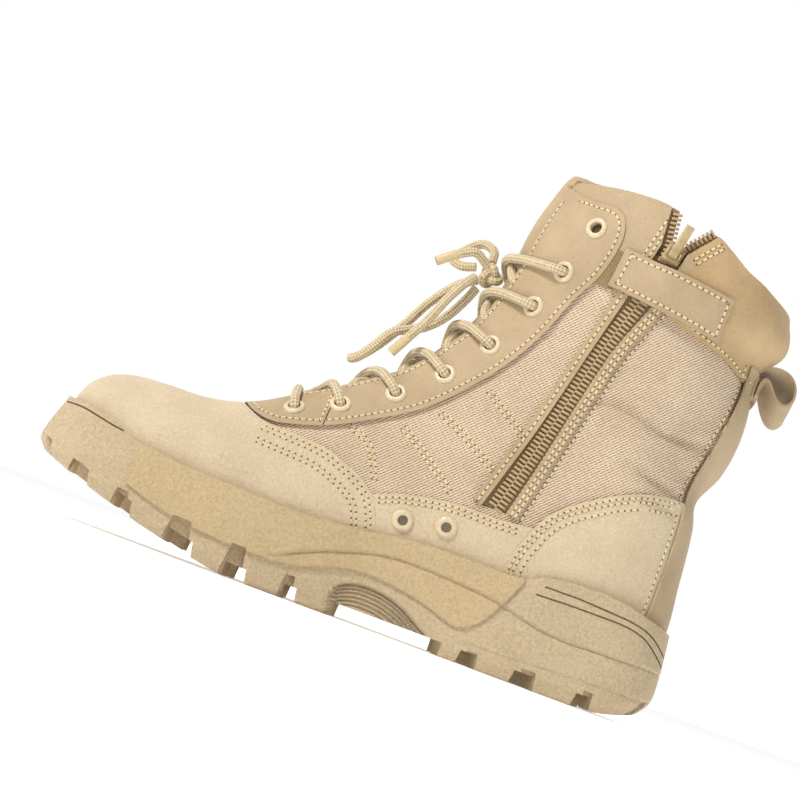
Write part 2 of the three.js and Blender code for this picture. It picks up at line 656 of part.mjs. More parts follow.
// Knot, loops and ends of the bow. Each path keeps to its own side of the knot: [x, y, z].
const KNOT = { x: 18, y: 0, z: 179, radius: 5.2 };
const BOW = {
  loop_long: [
    [12.5, 3.5, 175.5], [5, 8, 171], [-5, 10.5, 158.5], [-12, 11.5, 145.5], [-20, 11, 132],
    [-27, 8, 122.5], [-31, 1.5, 118.5], [-28, -5, 119.5], [-23, -8, 126], [-17, -8, 135.5],
    [-10, -6.5, 140], [-3, -5.5, 144], [4.5, -5, 152], [10, -4, 162], [13.5, -2.5, 170.5],
  ],
  loop_short: [
    [16.5, 4, 186], [15.5, 7.5, 192.5], [9, 11.5, 194.5], [2, 12.5, 188.5], [-2, 10, 182.5],
    [3, 6.5, 180], [9.8, 4.2, 181.5],
  ],
  end_upper: [[12.3, -2.5, 184.5], [7, -5, 186.5], [-1, -7, 182], [-9, -8, 175.5]],
  end_lower: [
    [11, -5, 175], [7, -9.5, 169], [2, -12, 159], [-3, -13, 146.5], [-8, -13, 137], [-14, -12, 126],
  ],
};

function makeKnot() {
  const { x, y, z, radius } = KNOT;
  return fromGeometry(new THREE.SphereGeometry(radius, 10, 7)
    .scale(0.95, 1.05, 1.15).translate(x, y, z));
}

// ---- Assembly

const boot = new THREE.Group();

// A cut can leave crumbs of no size beside the piece itself, which is the largest body, and
// slivers along its edges, which are closed up.
const SLIVER = 0.04;
const largest = (solid) => solid.asOriginal().simplify(SLIVER).decompose()
  .reduce((a, b) => (a.volume() > b.volume() ? a : b));

function add(name, solid, color, roughness = 0.9, metalness = 0) {
  const { vertProperties, triVerts } = largest(solid).getMesh();
  const geometry = new THREE.BufferGeometry();
  geometry.setAttribute('position', new THREE.BufferAttribute(vertProperties, 3));
  geometry.setIndex(new THREE.BufferAttribute(triVerts, 1));
  geometry.computeVertexNormals();
  const mesh = new THREE.Mesh(
    geometry, new THREE.MeshStandardMaterial({ color, roughness, metalness }));
  mesh.name = name;
  boot.add(mesh);
  return mesh;
}

const TAN = { rubber: 0xd3bf97, midsole: 0xc9b387, suede: 0xdcc7a4, leather: 0xe0ceab,
  lace: 0xcdbb95, enamel: 0xe2d2b0 };

const sole = makeSole();
add('outsole', sole.outsole, TAN.rubber, 0.75);
add('midsole', sole.midsole, TAN.midsole, 0.7);
add('insole', makeInsole(), 0xb39c74);
const upper = add('upper', makeUpper(), TAN.suede, 0.95);
add('tongue', makeTongue(), 0xcbb58f);
add('heel_counter', makeCounter(), TAN.suede, 0.95);
const eyestays = [-1, 1].map((side) => (
  add(side < 0 ? 'eyestay_medial' : 'eyestay_lateral', makeEyestay(side), TAN.leather, 0.6)));
add('strap', makeStrap(), TAN.leather, 0.6);
const chain = add('zip_chain', makeZipChain(), 0x8d7355, 0.6);
add('zip_slider', ontoZip(makeSlider(), chain), 0x9c8561, 0.4, 0.6);
add('zip_pull', ontoZip(makePull(), chain), 0x9c8561, 0.4, 0.6);
add('pull_loop', makePullLoop(), TAN.leather, 0.6);

EYELETS.forEach(([x, z], row) => eyestays.forEach((eyestay, i) => {
  const side = i ? 1 : -1;
  const flange = ringGeometry(EYELET_HOLE, EYELET_OUTER, EYELET_HIGH, 10);
  const solid = fromGeometry(facing(flange, hit(eyestay, x, z, side), 3 * GAP));
  add(`eyelet_${i ? 'lateral' : 'medial'}_${row + 1}`, solid, TAN.enamel, 0.4, 0.5);
}));
VENTS.forEach(([x, z], i) => {
  const ring = ringGeometry(EYELET_HOLE, EYELET_OUTER, EYELET_HIGH, 10);
  const solid = fromGeometry(facing(ring, hit(upper, x, z, -1), GAP));
  add(`vent_${i + 1}`, solid, TAN.enamel, 0.4, 0.5);
});
EYELETS.slice(0, LACED).forEach((_, row) => {
  const solid = row ? strand(row, -1).add(strand(row, 1)) : strand(0, 1);
  add(`lace_${row + 1}`, solid, TAN.lace);
});
add('lace_knot', makeKnot(), TAN.lace);
Object.entries(BOW).forEach(([name, path]) => {
  const points = path.map((point) => new THREE.Vector3(...point));
  const long = new THREE.CatmullRomCurve3(points, false, 'centripetal').getLength();
  add(`lace_${name}`, tube(points, Math.ceil(long / (2.8 * LACE))), TAN.lace);
});

boot.position.copy(TO_ORIGIN);

export default boot;
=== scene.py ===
# %% [markdown]
# # A tan combat boot with a side zip
# The construction is already there as a imported CAD frame: upper, sole, tongue, eyelets, zip and
# laces at their real size. This lesson gives each of them the surface that the eye expects. Most
# pieces are replaced by finer ones made from the same few section tables, so nothing has to be
# fitted afterwards. All sizes are in millimetres; each piece is turned to metres as its mesh is
# made.

# %% Load the frame
import functools
import math

import bmesh
import bpy
import numpy as np
from mathutils import Matrix, Vector
from mathutils.bvhtree import BVHTree


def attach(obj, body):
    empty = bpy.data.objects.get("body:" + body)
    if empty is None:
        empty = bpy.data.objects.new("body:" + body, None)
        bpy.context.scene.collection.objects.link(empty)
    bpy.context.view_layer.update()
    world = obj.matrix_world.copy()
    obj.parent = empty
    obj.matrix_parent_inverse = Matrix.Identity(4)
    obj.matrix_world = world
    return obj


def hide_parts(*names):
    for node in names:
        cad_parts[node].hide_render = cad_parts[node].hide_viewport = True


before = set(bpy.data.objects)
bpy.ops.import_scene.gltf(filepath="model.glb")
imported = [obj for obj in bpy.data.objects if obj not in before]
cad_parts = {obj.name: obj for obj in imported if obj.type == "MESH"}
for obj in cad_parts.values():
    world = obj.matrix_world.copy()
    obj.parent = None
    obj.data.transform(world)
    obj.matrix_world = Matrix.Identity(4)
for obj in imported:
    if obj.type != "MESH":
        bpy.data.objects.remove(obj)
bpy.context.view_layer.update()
MM = 0.001
ORIGIN = np.array([-10.09, -1.35, 0.0])  # from the boot's drawing frame to the row's frame


def metres(points):
    """Points of the drawing, in mm, as metres in the row's frame."""
    return (np.asarray(points, float) + ORIGIN) * MM


# %% [markdown]
# ## Camera
# The boot is looked at square to its inner side, from a point just above the floor, so the sole
# is seen from nearly level and the shaft from slightly below. The camera is rolled, because the
# boot was shown toe up. A long lens keeps the perspective gentle.

# %% Camera
PICTURE_WIDE = 364.8  # what the picture takes in at the boot's inner side, mm
PICTURE_MIDDLE = (-2.0, -45.0, 103.0)
CAMERA_AWAY = 900.0
CAMERA_HIGH = 12.0
ROLL = math.radians(20.5)

eye = Vector(metres((PICTURE_MIDDLE[0], PICTURE_MIDDLE[1] - CAMERA_AWAY, CAMERA_HIGH)))
looked_at = Vector(metres(PICTURE_MIDDLE))
camera_data = bpy.data.cameras.new("camera")
camera_data.sensor_width = 36.0
camera_data.lens = 36.0 * (looked_at - eye).length / (PICTURE_WIDE * MM)
camera_data.clip_start = 0.05
camera = bpy.data.objects.new("camera", camera_data)
bpy.context.collection.objects.link(camera)
aim = (looked_at - eye).to_track_quat("-Z", "Y")
camera.matrix_world = (
    Matrix.Translation(eye) @ aim.to_matrix().to_4x4() @ Matrix.Rotation(ROLL, 4, "Z")
)
bpy.context.scene.camera = camera
print("lens", round(camera_data.lens, 1), "mm")

# %% [markdown]
# ## Floor and light
# The boot stands in a white studio. Behind it the room is bright, so floor and backdrop melt
# together; on the viewer's side it is dimmer, which lets one soft key light from above the toe
# shape the leather. Weaker lights from behind and from the heel draw the outline.

# %% Colours, nodes and the stage


def linear(code):
    """An sRGB hex colour as linear values with alpha."""
    parts = [int(code[i : i + 2], 16) / 255 for i in (0, 2, 4)]
    return [c / 12.92 if c <= 0.04045 else ((c + 0.055) / 1.055) ** 2.4 for c in parts] + [1]


def add_node(tree, kind, settings=None, **links):
    """Adds a node, sets its properties, and gives its inputs values or links by name."""
    node = tree.nodes.new(kind)
    for key, value in (settings or {}).items():
        setattr(node, key, value)
    for key, value in links.items():
        socket = node.inputs[int(key[1:])] if key[0] == "i" and key[1:].isdigit() else None
        socket = socket or node.inputs[key.replace("_", " ")]
        if isinstance(value, bpy.types.NodeSocket):
            tree.links.new(value, socket)
        else:
            socket.default_value = value
    return node


def new_material(name, base, roughness, **constants):
    """A material with one Principled shader, its constants on the shader's own sockets."""
    material = bpy.data.materials.new(name)
    material.use_nodes = True
    shader = material.node_tree.nodes["Principled BSDF"]
    shader.inputs["Base Color"].default_value = linear(base)
    shader.inputs["Roughness"].default_value = roughness
    for key, value in constants.items():
        shader.inputs[key.replace("_", " ")].default_value = value
    return material, material.node_tree, shader


floor_paint, _, _ = new_material("matt_white_floor", "fafafa", 0.9, Emission_Strength=0.4)
bpy.ops.mesh.primitive_plane_add(size=60, location=(0, 0, 0))
floor = bpy.context.object
floor.name = "floor"
floor.data.materials.append(floor_paint)

world = bpy.data.worlds.new("pale_room")
bpy.context.scene.world = world
world.use_nodes = True
room = world.node_tree
direction = add_node(room, "ShaderNodeTexCoord").outputs["Generated"]
towards = add_node(room, "ShaderNodeSeparateXYZ", Vector=direction)
brightness = add_node(room, "ShaderNodeValToRGB", Fac=towards.outputs["Y"])
stops = ((0.0, "8c8c8a"), (0.35, "ffffff"))  # dim on the viewer's side, bright behind the boot
for element, (place, code) in zip(brightness.color_ramp.elements, stops):
    element.position, element.color = place, linear(code)
room.links.new(brightness.outputs["Color"], room.nodes["Background"].inputs["Color"])
room.nodes["Background"].inputs["Strength"].default_value = 1.0
bpy.context.scene.view_settings.view_transform = "Standard"


def softbox(name, place, size, power, colour="ffffff"):
    """A round lamp that is turned to the middle of the boot."""
    data = bpy.data.lights.new(name, "AREA")
    data.shape = "DISK"
    data.size = size
    data.energy = power
    data.color = linear(colour)[:3]
    lamp = bpy.data.objects.new(name, data)
    bpy.context.collection.objects.link(lamp)
    lamp.location = place
    lamp.rotation_euler = (Vector((0, 0, 0.11)) - Vector(place)).to_track_quat("-Z", "Y").to_euler()


softbox("key", (-0.8, -0.7, 1.2), 0.35, 21, colour="fffaf2")
softbox("rim", (0.5, 0.9, 1.0), 0.7, 5)
softbox("heel_fill", (0.95, -0.75, 0.55), 0.9, 2.4)

# %% [markdown]
# ## Small helpers
# Operators act on what is selected, so each helper first selects only its own piece. A modifier
# is always applied at once, so the mesh itself holds the finished shape.

# %% Helpers for pieces


def select_only(piece):
    bpy.ops.object.select_all(action="DESELECT")
    piece.select_set(True)
    bpy.context.view_layer.objects.active = piece


def apply_modifier(piece, kind, **settings):
    select_only(piece)
    modifier = piece.modifiers.new("step", kind)
    for key, value in settings.items():
        setattr(modifier, key, value)
    bpy.ops.object.modifier_apply(modifier=modifier.name)


def mesh_piece(name, points, faces):
    """A piece from points in mm and faces, with its faces turned outwards."""
    mesh = bpy.data.meshes.new(name)
    mesh.from_pydata(metres(points).tolist(), [], faces)
    piece = bpy.data.objects.new(name, mesh)
    bpy.context.collection.objects.link(piece)
    shell = bmesh.new()
    shell.from_mesh(mesh)
    bmesh.ops.recalc_face_normals(shell, faces=shell.faces)
    shell.to_mesh(mesh)
    shell.free()
    return piece


def boolean(piece, tool, operation, keep_tool=False):
    apply_modifier(piece, "BOOLEAN", operation=operation, object=tool, solver="MANIFOLD")
    if not keep_tool:
        bpy.data.objects.remove(tool)
    return piece


def join(name, pieces):
    """Several pieces made one, under a name."""
    select_only(pieces[0])
    for piece in pieces[1:]:
        piece.select_set(True)
    if len(pieces) > 1:
        bpy.ops.object.join()
    joined = bpy.context.object
    joined.name = name
    return joined


def unit(vector):
    return vector / np.linalg.norm(vector)


def distances_along(points):
    """How far each point of a line is from the line's start."""
    gaps = np.linalg.norm(np.diff(points, axis=0), axis=1)
    return np.concatenate([[0], np.cumsum(gaps)])


def copy_of(piece, name):
    twin = bpy.data.objects.new(name, piece.data.copy())
    bpy.context.collection.objects.link(twin)
    return twin


def smooth(piece, degrees=35):
    select_only(piece)
    bpy.ops.object.shade_smooth_by_angle(angle=math.radians(degrees))


def dress(piece, material, body="boot", replaced=()):
    """Gives a finished piece its material, the body it rides on and the nodes it replaces."""
    piece.data.materials.clear()
    piece.data.materials.append(material)
    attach(piece, body)
    if replaced:
        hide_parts(*replaced)
    print(piece.name, len(piece.data.polygons), "faces")
    return piece


# %% [markdown]
# ## Curves and tables
# A shoemaker works from a last and a handful of measured sections. Here each section is a row of
# a table, and smooth curves run through the rows, so a few dozen numbers give the whole form.

# %% Curves and tables


def through(knots, values, at):
    """Values at places along a smooth curve through knots."""
    knots, values = np.asarray(knots, float), np.asarray(values, float)
    at = np.clip(np.asarray(at, float), knots[0], knots[-1])
    before, after = np.arange(len(knots)) - 1, np.arange(len(knots)) + 1
    before[0], after[-1] = 0, len(knots) - 1
    slope = (values[after] - values[before]) / (knots[after] - knots[before])
    i = np.clip(np.searchsorted(knots, at, side="right") - 1, 0, len(knots) - 2)
    wide = knots[i + 1] - knots[i]
    t = (at - knots[i]) / wide
    rise = t * t * (3 - 2 * t)
    bend = slope[i] * t * (1 - t) ** 2 - slope[i + 1] * t * t * (1 - t)
    return values[i] * (1 - rise) + values[i + 1] * rise + wide * bend


class Table:
    """Rows of numbers with named columns, read along the first column."""

    def __init__(self, columns, rows):
        self.rows = np.array(rows, float)
        self.columns = columns.split()

    def __call__(self, column, at):
        return through(self.rows[:, 0], self.rows[:, self.columns.index(column)], at)


def curve(points, step):
    """A smooth open curve through points, as points a step apart."""
    points = np.asarray(points, float)
    along = distances_along(points)
    at = np.linspace(0, along[-1], 40 * len(points))
    dense = np.stack([through(along, points[:, i], at) for i in range(points.shape[1])], axis=1)
    long = distances_along(dense)
    places = np.linspace(0, long[-1], max(int(round(long[-1] / step)), 1) + 1)
    return np.stack([np.interp(places, long, dense[:, i]) for i in range(points.shape[1])], 1)


def sideways(points, distance):
    """An open line in the plane, moved to its right by a distance."""
    points = np.asarray(points, float)
    along = np.gradient(points, axis=0)
    along /= np.linalg.norm(along, axis=1, keepdims=True)
    return points + distance * np.stack([along[:, 1], -along[:, 0]], axis=1)


PLAN = Table("x centre half", [
    [-155, -4, 52], [-110, -1, 53], [-85, 0.5, 54], [-60, 1.5, 55], [-40, 2.5, 53], [-15, 4, 48],
    [15, 4.8, 42.5], [45, 3.5, 40.5], [80, 1, 40.5], [110, 0, 40.5], [158.5, -0.5, 39.5],
])  # fmt: skip
HEIGHTS = Table("x footbed rim", [
    [-155, 44, 53.5], [-135, 36.5, 51.3], [-120, 31.5, 48], [-106, 27, 43.4], [-80, 20.5, 40.6],
    [-55, 17.5, 39.5], [-25, 18, 39.3], [0, 21.5, 41.6], [22, 24.5, 44.8], [45, 26, 46.2],
    [78, 27.3, 46.6], [92, 27.8, 51.4], [118, 28, 53], [140, 28, 49.6], [158.5, 28, 45.5],
])  # fmt: skip
# The upper's sections fan out from the toe over the instep and up the shaft.
SECTION_COLUMNS = "top_x top_z foot_x foot_z medial lateral ridge widest square round"
SECTION_ROWS = np.array([
    [-146, 50.5, -146, 41, 8, 1, -4, 0.5, 2.5, 2.2],
    [-144.3, 56.5, -144.3, 36, 15, 8, -3.8, 0.42, 3, 2.2],
    [-141, 62.5, -141, 32, 22.5, 16, -3.6, 0.38, 4, 2.2],
    [-134, 68.5, -134, 28, 32, 26, -3.2, 0.35, 5, 2.2],
    [-123, 72.3, -123, 23.5, 39.5, 36, -2.8, 0.33, 6, 2.2],
    [-107, 73.8, -107, 18.5, 45, 43.5, -2.5, 0.32, 6, 2.1],
    [-88, 74.6, -87, 14.5, 47, 47.5, -2.5, 0.32, 6, 2.05],
    [-68, 79.6, -64, 12.5, 46.5, 50, -3, 0.31, 6, 2],
    [-50, 89.8, -38, 12, 43.5, 48.5, -3, 0.31, 6, 1.95],
    [-34, 100.8, -10, 12, 38.5, 45.5, -3, 0.31, 6, 1.95],
    [-20, 111.5, 18, 13, 34, 41.5, -2.5, 0.32, 6, 1.95],
    [-7, 122, 48, 14, 32, 38.8, -2, 0.34, 5, 1.95],
    [3, 133, 80, 15, 32.5, 37, -1.5, 0.36, 4.5, 1.95],
    [10, 143, 112, 16, 34, 36, -1, 0.38, 3.6, 1.95],
    [15.5, 152, 142, 22, 34.5, 35.5, -0.5, 0.38, 2.4, 1.95],
    [19, 160, 152.8, 44, 35, 35.8, 0, 0.39, 2.1, 1.95],
    [22, 167, 151.3, 72, 36, 36.5, 0, 0.39, 2.05, 1.95],
    [24.5, 174, 148.8, 97, 36.5, 37, 0, 0.4, 2.05, 1.95],
    [26.5, 181, 145.8, 111.5, 37.5, 38, 0, 0.41, 2, 1.95],
    [28, 188, 152.6, 127, 38.5, 39, 0, 0.43, 2, 1.95],
    [29.5, 196, 155.4, 144, 40, 40.5, 0, 0.44, 2.1, 2],
    [31, 204, 154.6, 161, 41.5, 42, 0, 0.45, 2.1, 2],
    [33, 213, 150.5, 178, 42.5, 43, 0, 0.45, 2.2, 2],
    [35.5, 222, 159.8, 192, 44, 44.5, 0, 0.46, 2.3, 2],
    [38.5, 232, 159, 204, 44.5, 45, 0, 0.46, 2.3, 2],
    [42, 243, 154.5, 215, 44, 44.5, 0, 0.46, 2.3, 2],
])  # fmt: skip
SECTIONS = Table("at " + SECTION_COLUMNS, np.column_stack([range(26), SECTION_ROWS]))
LAST_SECTION = len(SECTION_ROWS) - 1
THROAT = Table("section gap bulge", [
    [7.6, 3, -3.7], [8.4, 8, -1.5], [10, 10, 0.5], [13, 11, 1.5], [17, 12, 2], [21, 13, 5],
    [25, 14, 5],
])  # fmt: skip
WALL = 2.4
print("tables:", LAST_SECTION + 1, "sections,", len(PLAN.rows), "plan stations")

# %% [markdown]
# ## The upper's form
# Each section is an outline of superellipse arcs: boxy where it meets the sole, round over the
# instep. Operators have no such loft, so the rings are worked out in numpy and skinned with
# quads. Every panel is later cut from this same form, moved outwards by a millimetre or so,
# which is how a maker's patterns are all drawn on one last.

# %% Sections and forms
ROUND_SECTION = 168  # points round each ring
RINGS_PER_ROW = 7


def section(at):
    return {name: float(SECTIONS(name, at)) for name in SECTION_COLUMNS.split()}


@functools.cache
def bare_ring(at):
    """A section's outline in its own plane: its points, the ways out, and how the plane lies."""
    row = section(at)
    long = math.hypot(row["top_x"] - row["foot_x"], row["top_z"] - row["foot_z"])
    turn = np.linspace(0, 2 * np.pi, 361)
    c, s = np.cos(turn), np.sin(turn)
    power = 2 / np.where(c > 0, row["round"], row["square"])
    span = np.where(c > 0, 1 - row["widest"], row["widest"])
    up = (row["widest"] + span * np.sign(c) * np.abs(c) ** power) * long
    half = np.where(s > 0, row["medial"] + row["ridge"], row["lateral"] - row["ridge"])
    y = row["ridge"] - np.sign(s) * half * np.abs(s) ** power
    flat = np.stack([up, y], axis=1)[:-1]
    tangent = np.roll(flat, -1, axis=0) - np.roll(flat, 1, axis=0)
    tangent /= np.maximum(np.linalg.norm(tangent, axis=1, keepdims=True), 1e-9)
    to = (row["top_x"] - row["foot_x"]) / long, (row["top_z"] - row["foot_z"]) / long
    return flat, np.stack([-tangent[:, 1], tangent[:, 0]], axis=1), row, to


def ring(at, lift=0.0, relief=None):
    """A section's outline moved outwards, with the length along it from its top."""
    flat, outwards, row, (to_x, to_z) = bare_ring(float(at))
    out = lift
    if relief:
        x, z = row["foot_x"] + to_x * flat[:, 0], row["foot_z"] + to_z * flat[:, 0]
        out = lift + relief(x, flat[:, 1], z)
    flat = flat + outwards * np.reshape(out, (-1, 1))
    flat = np.vstack([flat, flat[:1]])
    lengths = distances_along(flat)
    points = np.stack(
        [row["foot_x"] + to_x * flat[:, 0], flat[:, 1], row["foot_z"] + to_z * flat[:, 0]], 1
    )
    return points, lengths


def on_ring(cut, arcs):
    """Points of a ring at arcs from its top, negative on the medial side."""
    points, lengths = cut
    at = np.mod(-np.asarray(arcs, float), lengths[-1])
    return np.stack([np.interp(at, lengths, points[:, i]) for i in range(3)], axis=1)


def wall_faces(rings, count):
    """The faces between neighbouring rings of equal count."""
    around = np.arange(count)
    following = (around + 1) % count
    faces = []
    for r in range(rings - 1):
        a, b = r * count + around, r * count + following
        faces += np.stack([a, b, b + count, a + count], axis=1).tolist()
    return faces


def skin_rings(rings):
    """Points and faces of a closed solid through rings of equal count."""
    count = len(rings[0])
    points = [*rings, rings[0].mean(axis=0)[None], rings[-1].mean(axis=0)[None]]
    around = np.arange(count)
    following = (around + 1) % count
    faces = wall_faces(len(rings), count)
    last = (len(rings) - 1) * count
    faces += [(len(rings) * count, b, a) for a, b in zip(around, following)]
    faces += [(len(rings) * count + 1, last + a, last + b) for a, b in zip(around, following)]
    return np.concatenate(points), faces


def form(name, lift, relief=None):
    """The upper's whole form as one closed solid, moved outwards by lift."""
    rings = []
    for at in np.linspace(0, LAST_SECTION, LAST_SECTION * RINGS_PER_ROW + 1):
        cut = ring(at, lift, relief)
        rings.append(on_ring(cut, -cut[1][-1] * np.arange(ROUND_SECTION) / ROUND_SECTION))
    rings[0] = rings[0] - np.array([lift, 0, 0])
    return mesh_piece(name, *skin_rings(rings))


def across(name, outline, low=-80.0, high=80.0):
    """A cutter: an outline in side view, extruded across the boot."""
    outline = np.asarray(outline, float)
    count = len(outline)
    points = [(x, y, z) for y in (low, high) for x, z in outline]
    faces = [list(range(count)), list(range(2 * count - 1, count - 1, -1))]
    faces += [[i, i + count, (i + 1) % count + count, (i + 1) % count] for i in range(count)]
    return mesh_piece(name, points, faces)


def band(one, other):
    """The outline of the strip between two lines that run side by side."""
    return [*one.tolist(), *other[::-1].tolist()]


def below_line(name, line):
    """A cutter: all that lies under a line of height along the boot."""
    x = np.arange(-165, 176, 3.0)
    outline = [(-165, -40), *zip(x, line(x)), (float(x[-1]), -40)]
    return across(name, outline)


# %% [markdown]
# ## Rubber and leather: the finishes
# Each material starts from what the real one is. Patterns are set in real millimetres through
# Object coordinates, so they neither stretch nor slide.

# %% Materials


def object_coordinates(tree):
    return add_node(tree, "ShaderNodeTexCoord").outputs["Object"]


def noise(tree, size_mm, detail=3.0, rough=0.55):
    """Noise whose features are about size_mm across."""
    return add_node(
        tree, "ShaderNodeTexNoise", Vector=object_coordinates(tree),
        Scale=1 / (size_mm * MM), Detail=detail, Roughness=rough,
    ).outputs["Fac"]  # fmt: skip


def tone(tree, factor, *stops):
    """A colour ramp from (place, hex) stops."""
    node = add_node(tree, "ShaderNodeValToRGB", Fac=factor)
    ramp = node.color_ramp
    while len(ramp.elements) < len(stops):
        ramp.elements.new(0.5)
    for element, (place, code) in zip(ramp.elements, stops):
        element.position = place
        element.color = linear(code)
    return node.outputs["Color"]


def math_node(tree, operation, first, second=0.0, third=0.0):
    """One step of arithmetic on numbers or sockets."""
    settings = {"operation": operation}
    node = add_node(tree, "ShaderNodeMath", settings, i0=first, i1=second, i2=third)
    return node.outputs[0]


def bump(tree, shader, height, depth_mm):
    node = add_node(tree, "ShaderNodeBump", Height=height, Distance=depth_mm * MM, Strength=1.0)
    tree.links.new(node.outputs["Normal"], shader.inputs["Normal"])


def mixed(tree, a, b, factor=0.5):
    """Two heights, mixed."""
    return add_node(
        tree, "ShaderNodeMix", {"data_type": "FLOAT"}, i0=factor, i2=a, i3=b
    ).outputs[0]


def grained(name, dark, light, roughness, grain_mm, depth_mm, blotch_mm=26, share=0.6, **constants):
    """A surface with fine grain and a slow change of tone, as hide and rubber have."""
    material, tree, shader = new_material(name, light, roughness, **constants)
    slow = noise(tree, blotch_mm, 4)
    fine = noise(tree, grain_mm, 4, 0.7)
    both = mixed(tree, slow, fine, share)
    colour = tone(tree, both, (0.4, dark), (0.6, light))
    tree.links.new(colour, shader.inputs["Base Color"])
    bump(tree, shader, fine, depth_mm)
    return material


# Split cowhide, sanded to a nap: no shine, a soft velvet edge and a blotchy tone.
suede = grained(
    "sueded_split_leather", "d2be9f", "e2d0b3", 0.95, 1.2, 1.3, share=0.66,
    Sheen_Weight=0.15, Sheen_Roughness=0.6, Specular_IOR_Level=0.2,
)  # fmt: skip
# Corrected-grain leather, dyed and lightly waxed: smoother, with a broad soft shine.
leather = grained(
    "smooth_dyed_leather", "a79273", "b7a283", 0.6, 0.9, 0.35, share=0.45, Specular_IOR_Level=0.35
)
# A second copy of the smooth leather, a little darker: its tone is taken where the rear collar
# turns away from the light, so it carries painted shade.
collar_shaded_leather = grained(
    "soft_collar_leather", "a98e66", "baa078", 0.58, 1.0, 0.2, share=0.4, Specular_IOR_Level=0.4
)
# Vulcanised rubber from a blasted mould: matt, slightly yellow.
rubber = grained(
    "moulded_tan_rubber", "c1ad8c", "d7c3a3", 0.8, 1.4, 1.7, blotch_mm=40, share=0.75,
    Specular_IOR_Level=0.3,
)  # fmt: skip
midsole_rubber = grained(
    "moulded_midsole_rubber", "c3ac84", "d6bf98", 0.8, 1.4, 1.7, blotch_mm=40, share=0.75,
    Specular_IOR_Level=0.3,
)  # fmt: skip
lining = grained("brushed_lining", "a58d67", "bba37c", 0.95, 0.7, 0.15, Sheen_Weight=0.3)
thread = grained("bonded_nylon_thread", "c9b894", "e0d1b0", 0.6, 0.5, 0.05)
hole_dark = grained("needle_hole_shadow", "654e2f", "826843", 0.95, 0.5, 0.02)
print("materials made")


def woven(name, dark, light, yarn_mm, depth_mm):
    """Twill-woven cloth: ribs that climb at half a right angle, cut by the crossing yarns."""
    material, tree, shader = new_material(name, light, 0.85, Specular_IOR_Level=0.25)
    place = object_coordinates(tree)
    turned = add_node(tree, "ShaderNodeMapping", Vector=place, Rotation=(0, math.radians(45), 0))
    parts = add_node(tree, "ShaderNodeSeparateXYZ", Vector=turned.outputs[0])
    waves = []
    for axis, spacing in (("X", 1.6), ("Z", 1.0)):
        rate = 2 * math.pi / (yarn_mm * spacing * MM)
        angle = math_node(tree, "MULTIPLY", parts.outputs[axis], rate)
        waves.append(math_node(tree, "SINE", angle))
    crossed = math_node(tree, "MULTIPLY", *waves)
    ribbed = mixed(tree, waves[1], crossed, 0.45)
    over_under = math_node(tree, "MULTIPLY_ADD", ribbed, 0.6, 0.5)
    uneven = mixed(tree, over_under, noise(tree, 1.2, 3, 0.6), 0.4)
    shade = mixed(tree, uneven, noise(tree, 30, 3), 0.2)
    colour = tone(tree, shade, (0.3, dark), (0.68, light))
    tree.links.new(colour, shader.inputs["Base Color"])
    bump(tree, shader, uneven, depth_mm)
    return material


# Coarse nylon twill, its ribs 1.2 mm apart.
nylon = woven("woven_nylon", "937960", "e8d5bd", 1.2, 0.7)

# %% [markdown]
# ## Sole
# The sole is a moulded cup. Its block follows the plan outline from the tread up to the rim, its
# side carries the steps and grooves of the mould, and the tread is what is left when the spaces
# between the lugs are cut away.

# %% Sole lines
TOE_END, HEEL_END = -155.0, 158.5
TOE_ROUND, HEEL_ROUND = 65.0, 40.0
TOE_LEAN = 5.0  # how far the toe cap leans back at its rim
SPRING_START, BEVEL_START = -45.0, 122.0
LUG = 6.5
GAP = 0.3
SIDEWALL = Table("share inset", [[0, 4.5], [0.13, 0.4], [0.45, 0], [1, 2]])
MIDSOLE_LINE = [
    [-104, 60], [-104, 24], [-80, 17.3], [-55, 14.8], [-35, 14.4], [-20, 16], [-10, 19.4],
    [0, 22.4], [10, 23.9], [20, 23.5], [31, 22], [41, 20], [50, 17], [57, 15.4], [64, 18],
    [70, 24.8], [75, 34], [80, 44.5], [84, 60],
]  # fmt: skip
# Grooves and steps of the mould, as lines in side view.
WAVE_LINE = [
    [-34, 15], [-29.6, 17.9], [-15.4, 25.1], [2.1, 31.2], [13, 34.2], [25.4, 35.6], [45, 35.2],
    [65, 33.7], [75, 32], [84, 29.8], [93, 27.9], [106, 26.9], [119, 27.3], [132, 27.8],
    [145, 28.3], [158.5, 28],
]  # fmt: skip
HEEL_GROOVES = [
    [[90, 46.7], [106.5, 46.8], [119, 46.2], [135, 45.1], [144.5, 42.6], [150, 39.5], [158.5, 34]],
    [[87, 42], [101, 42.5], [116, 42.7], [132, 42.4], [142, 40], [151, 34.6], [158.5, 29.5]],
]
TOE_GROOVE = [
    [-155, 50.3], [-144.3, 50.1], [-136.2, 49.7], [-127.7, 48.1], [-119.2, 46.4], [-113.8, 45.7],
]  # fmt: skip
LOW_LINE = [[58, 9.6], [90, 10.6], [120, 12], [158.5, 13.5]]
ARCH = Table("x top", [
    [-1, 10.9], [1.2, 15], [8, 18.1], [16.7, 18.8], [25.1, 17.5], [33.1, 14.6], [40.6, 10.5],
    [46.7, 7.3],
])  # fmt: skip


def tread(x):
    toe = np.maximum(SPRING_START - x, 0) / (SPRING_START - TOE_END)
    heel = np.maximum(x - BEVEL_START, 0) / (HEEL_END - BEVEL_START)
    return 28 * toe**1.35 + 9 * heel**1.6


def rim(x):
    return HEIGHTS("rim", x)


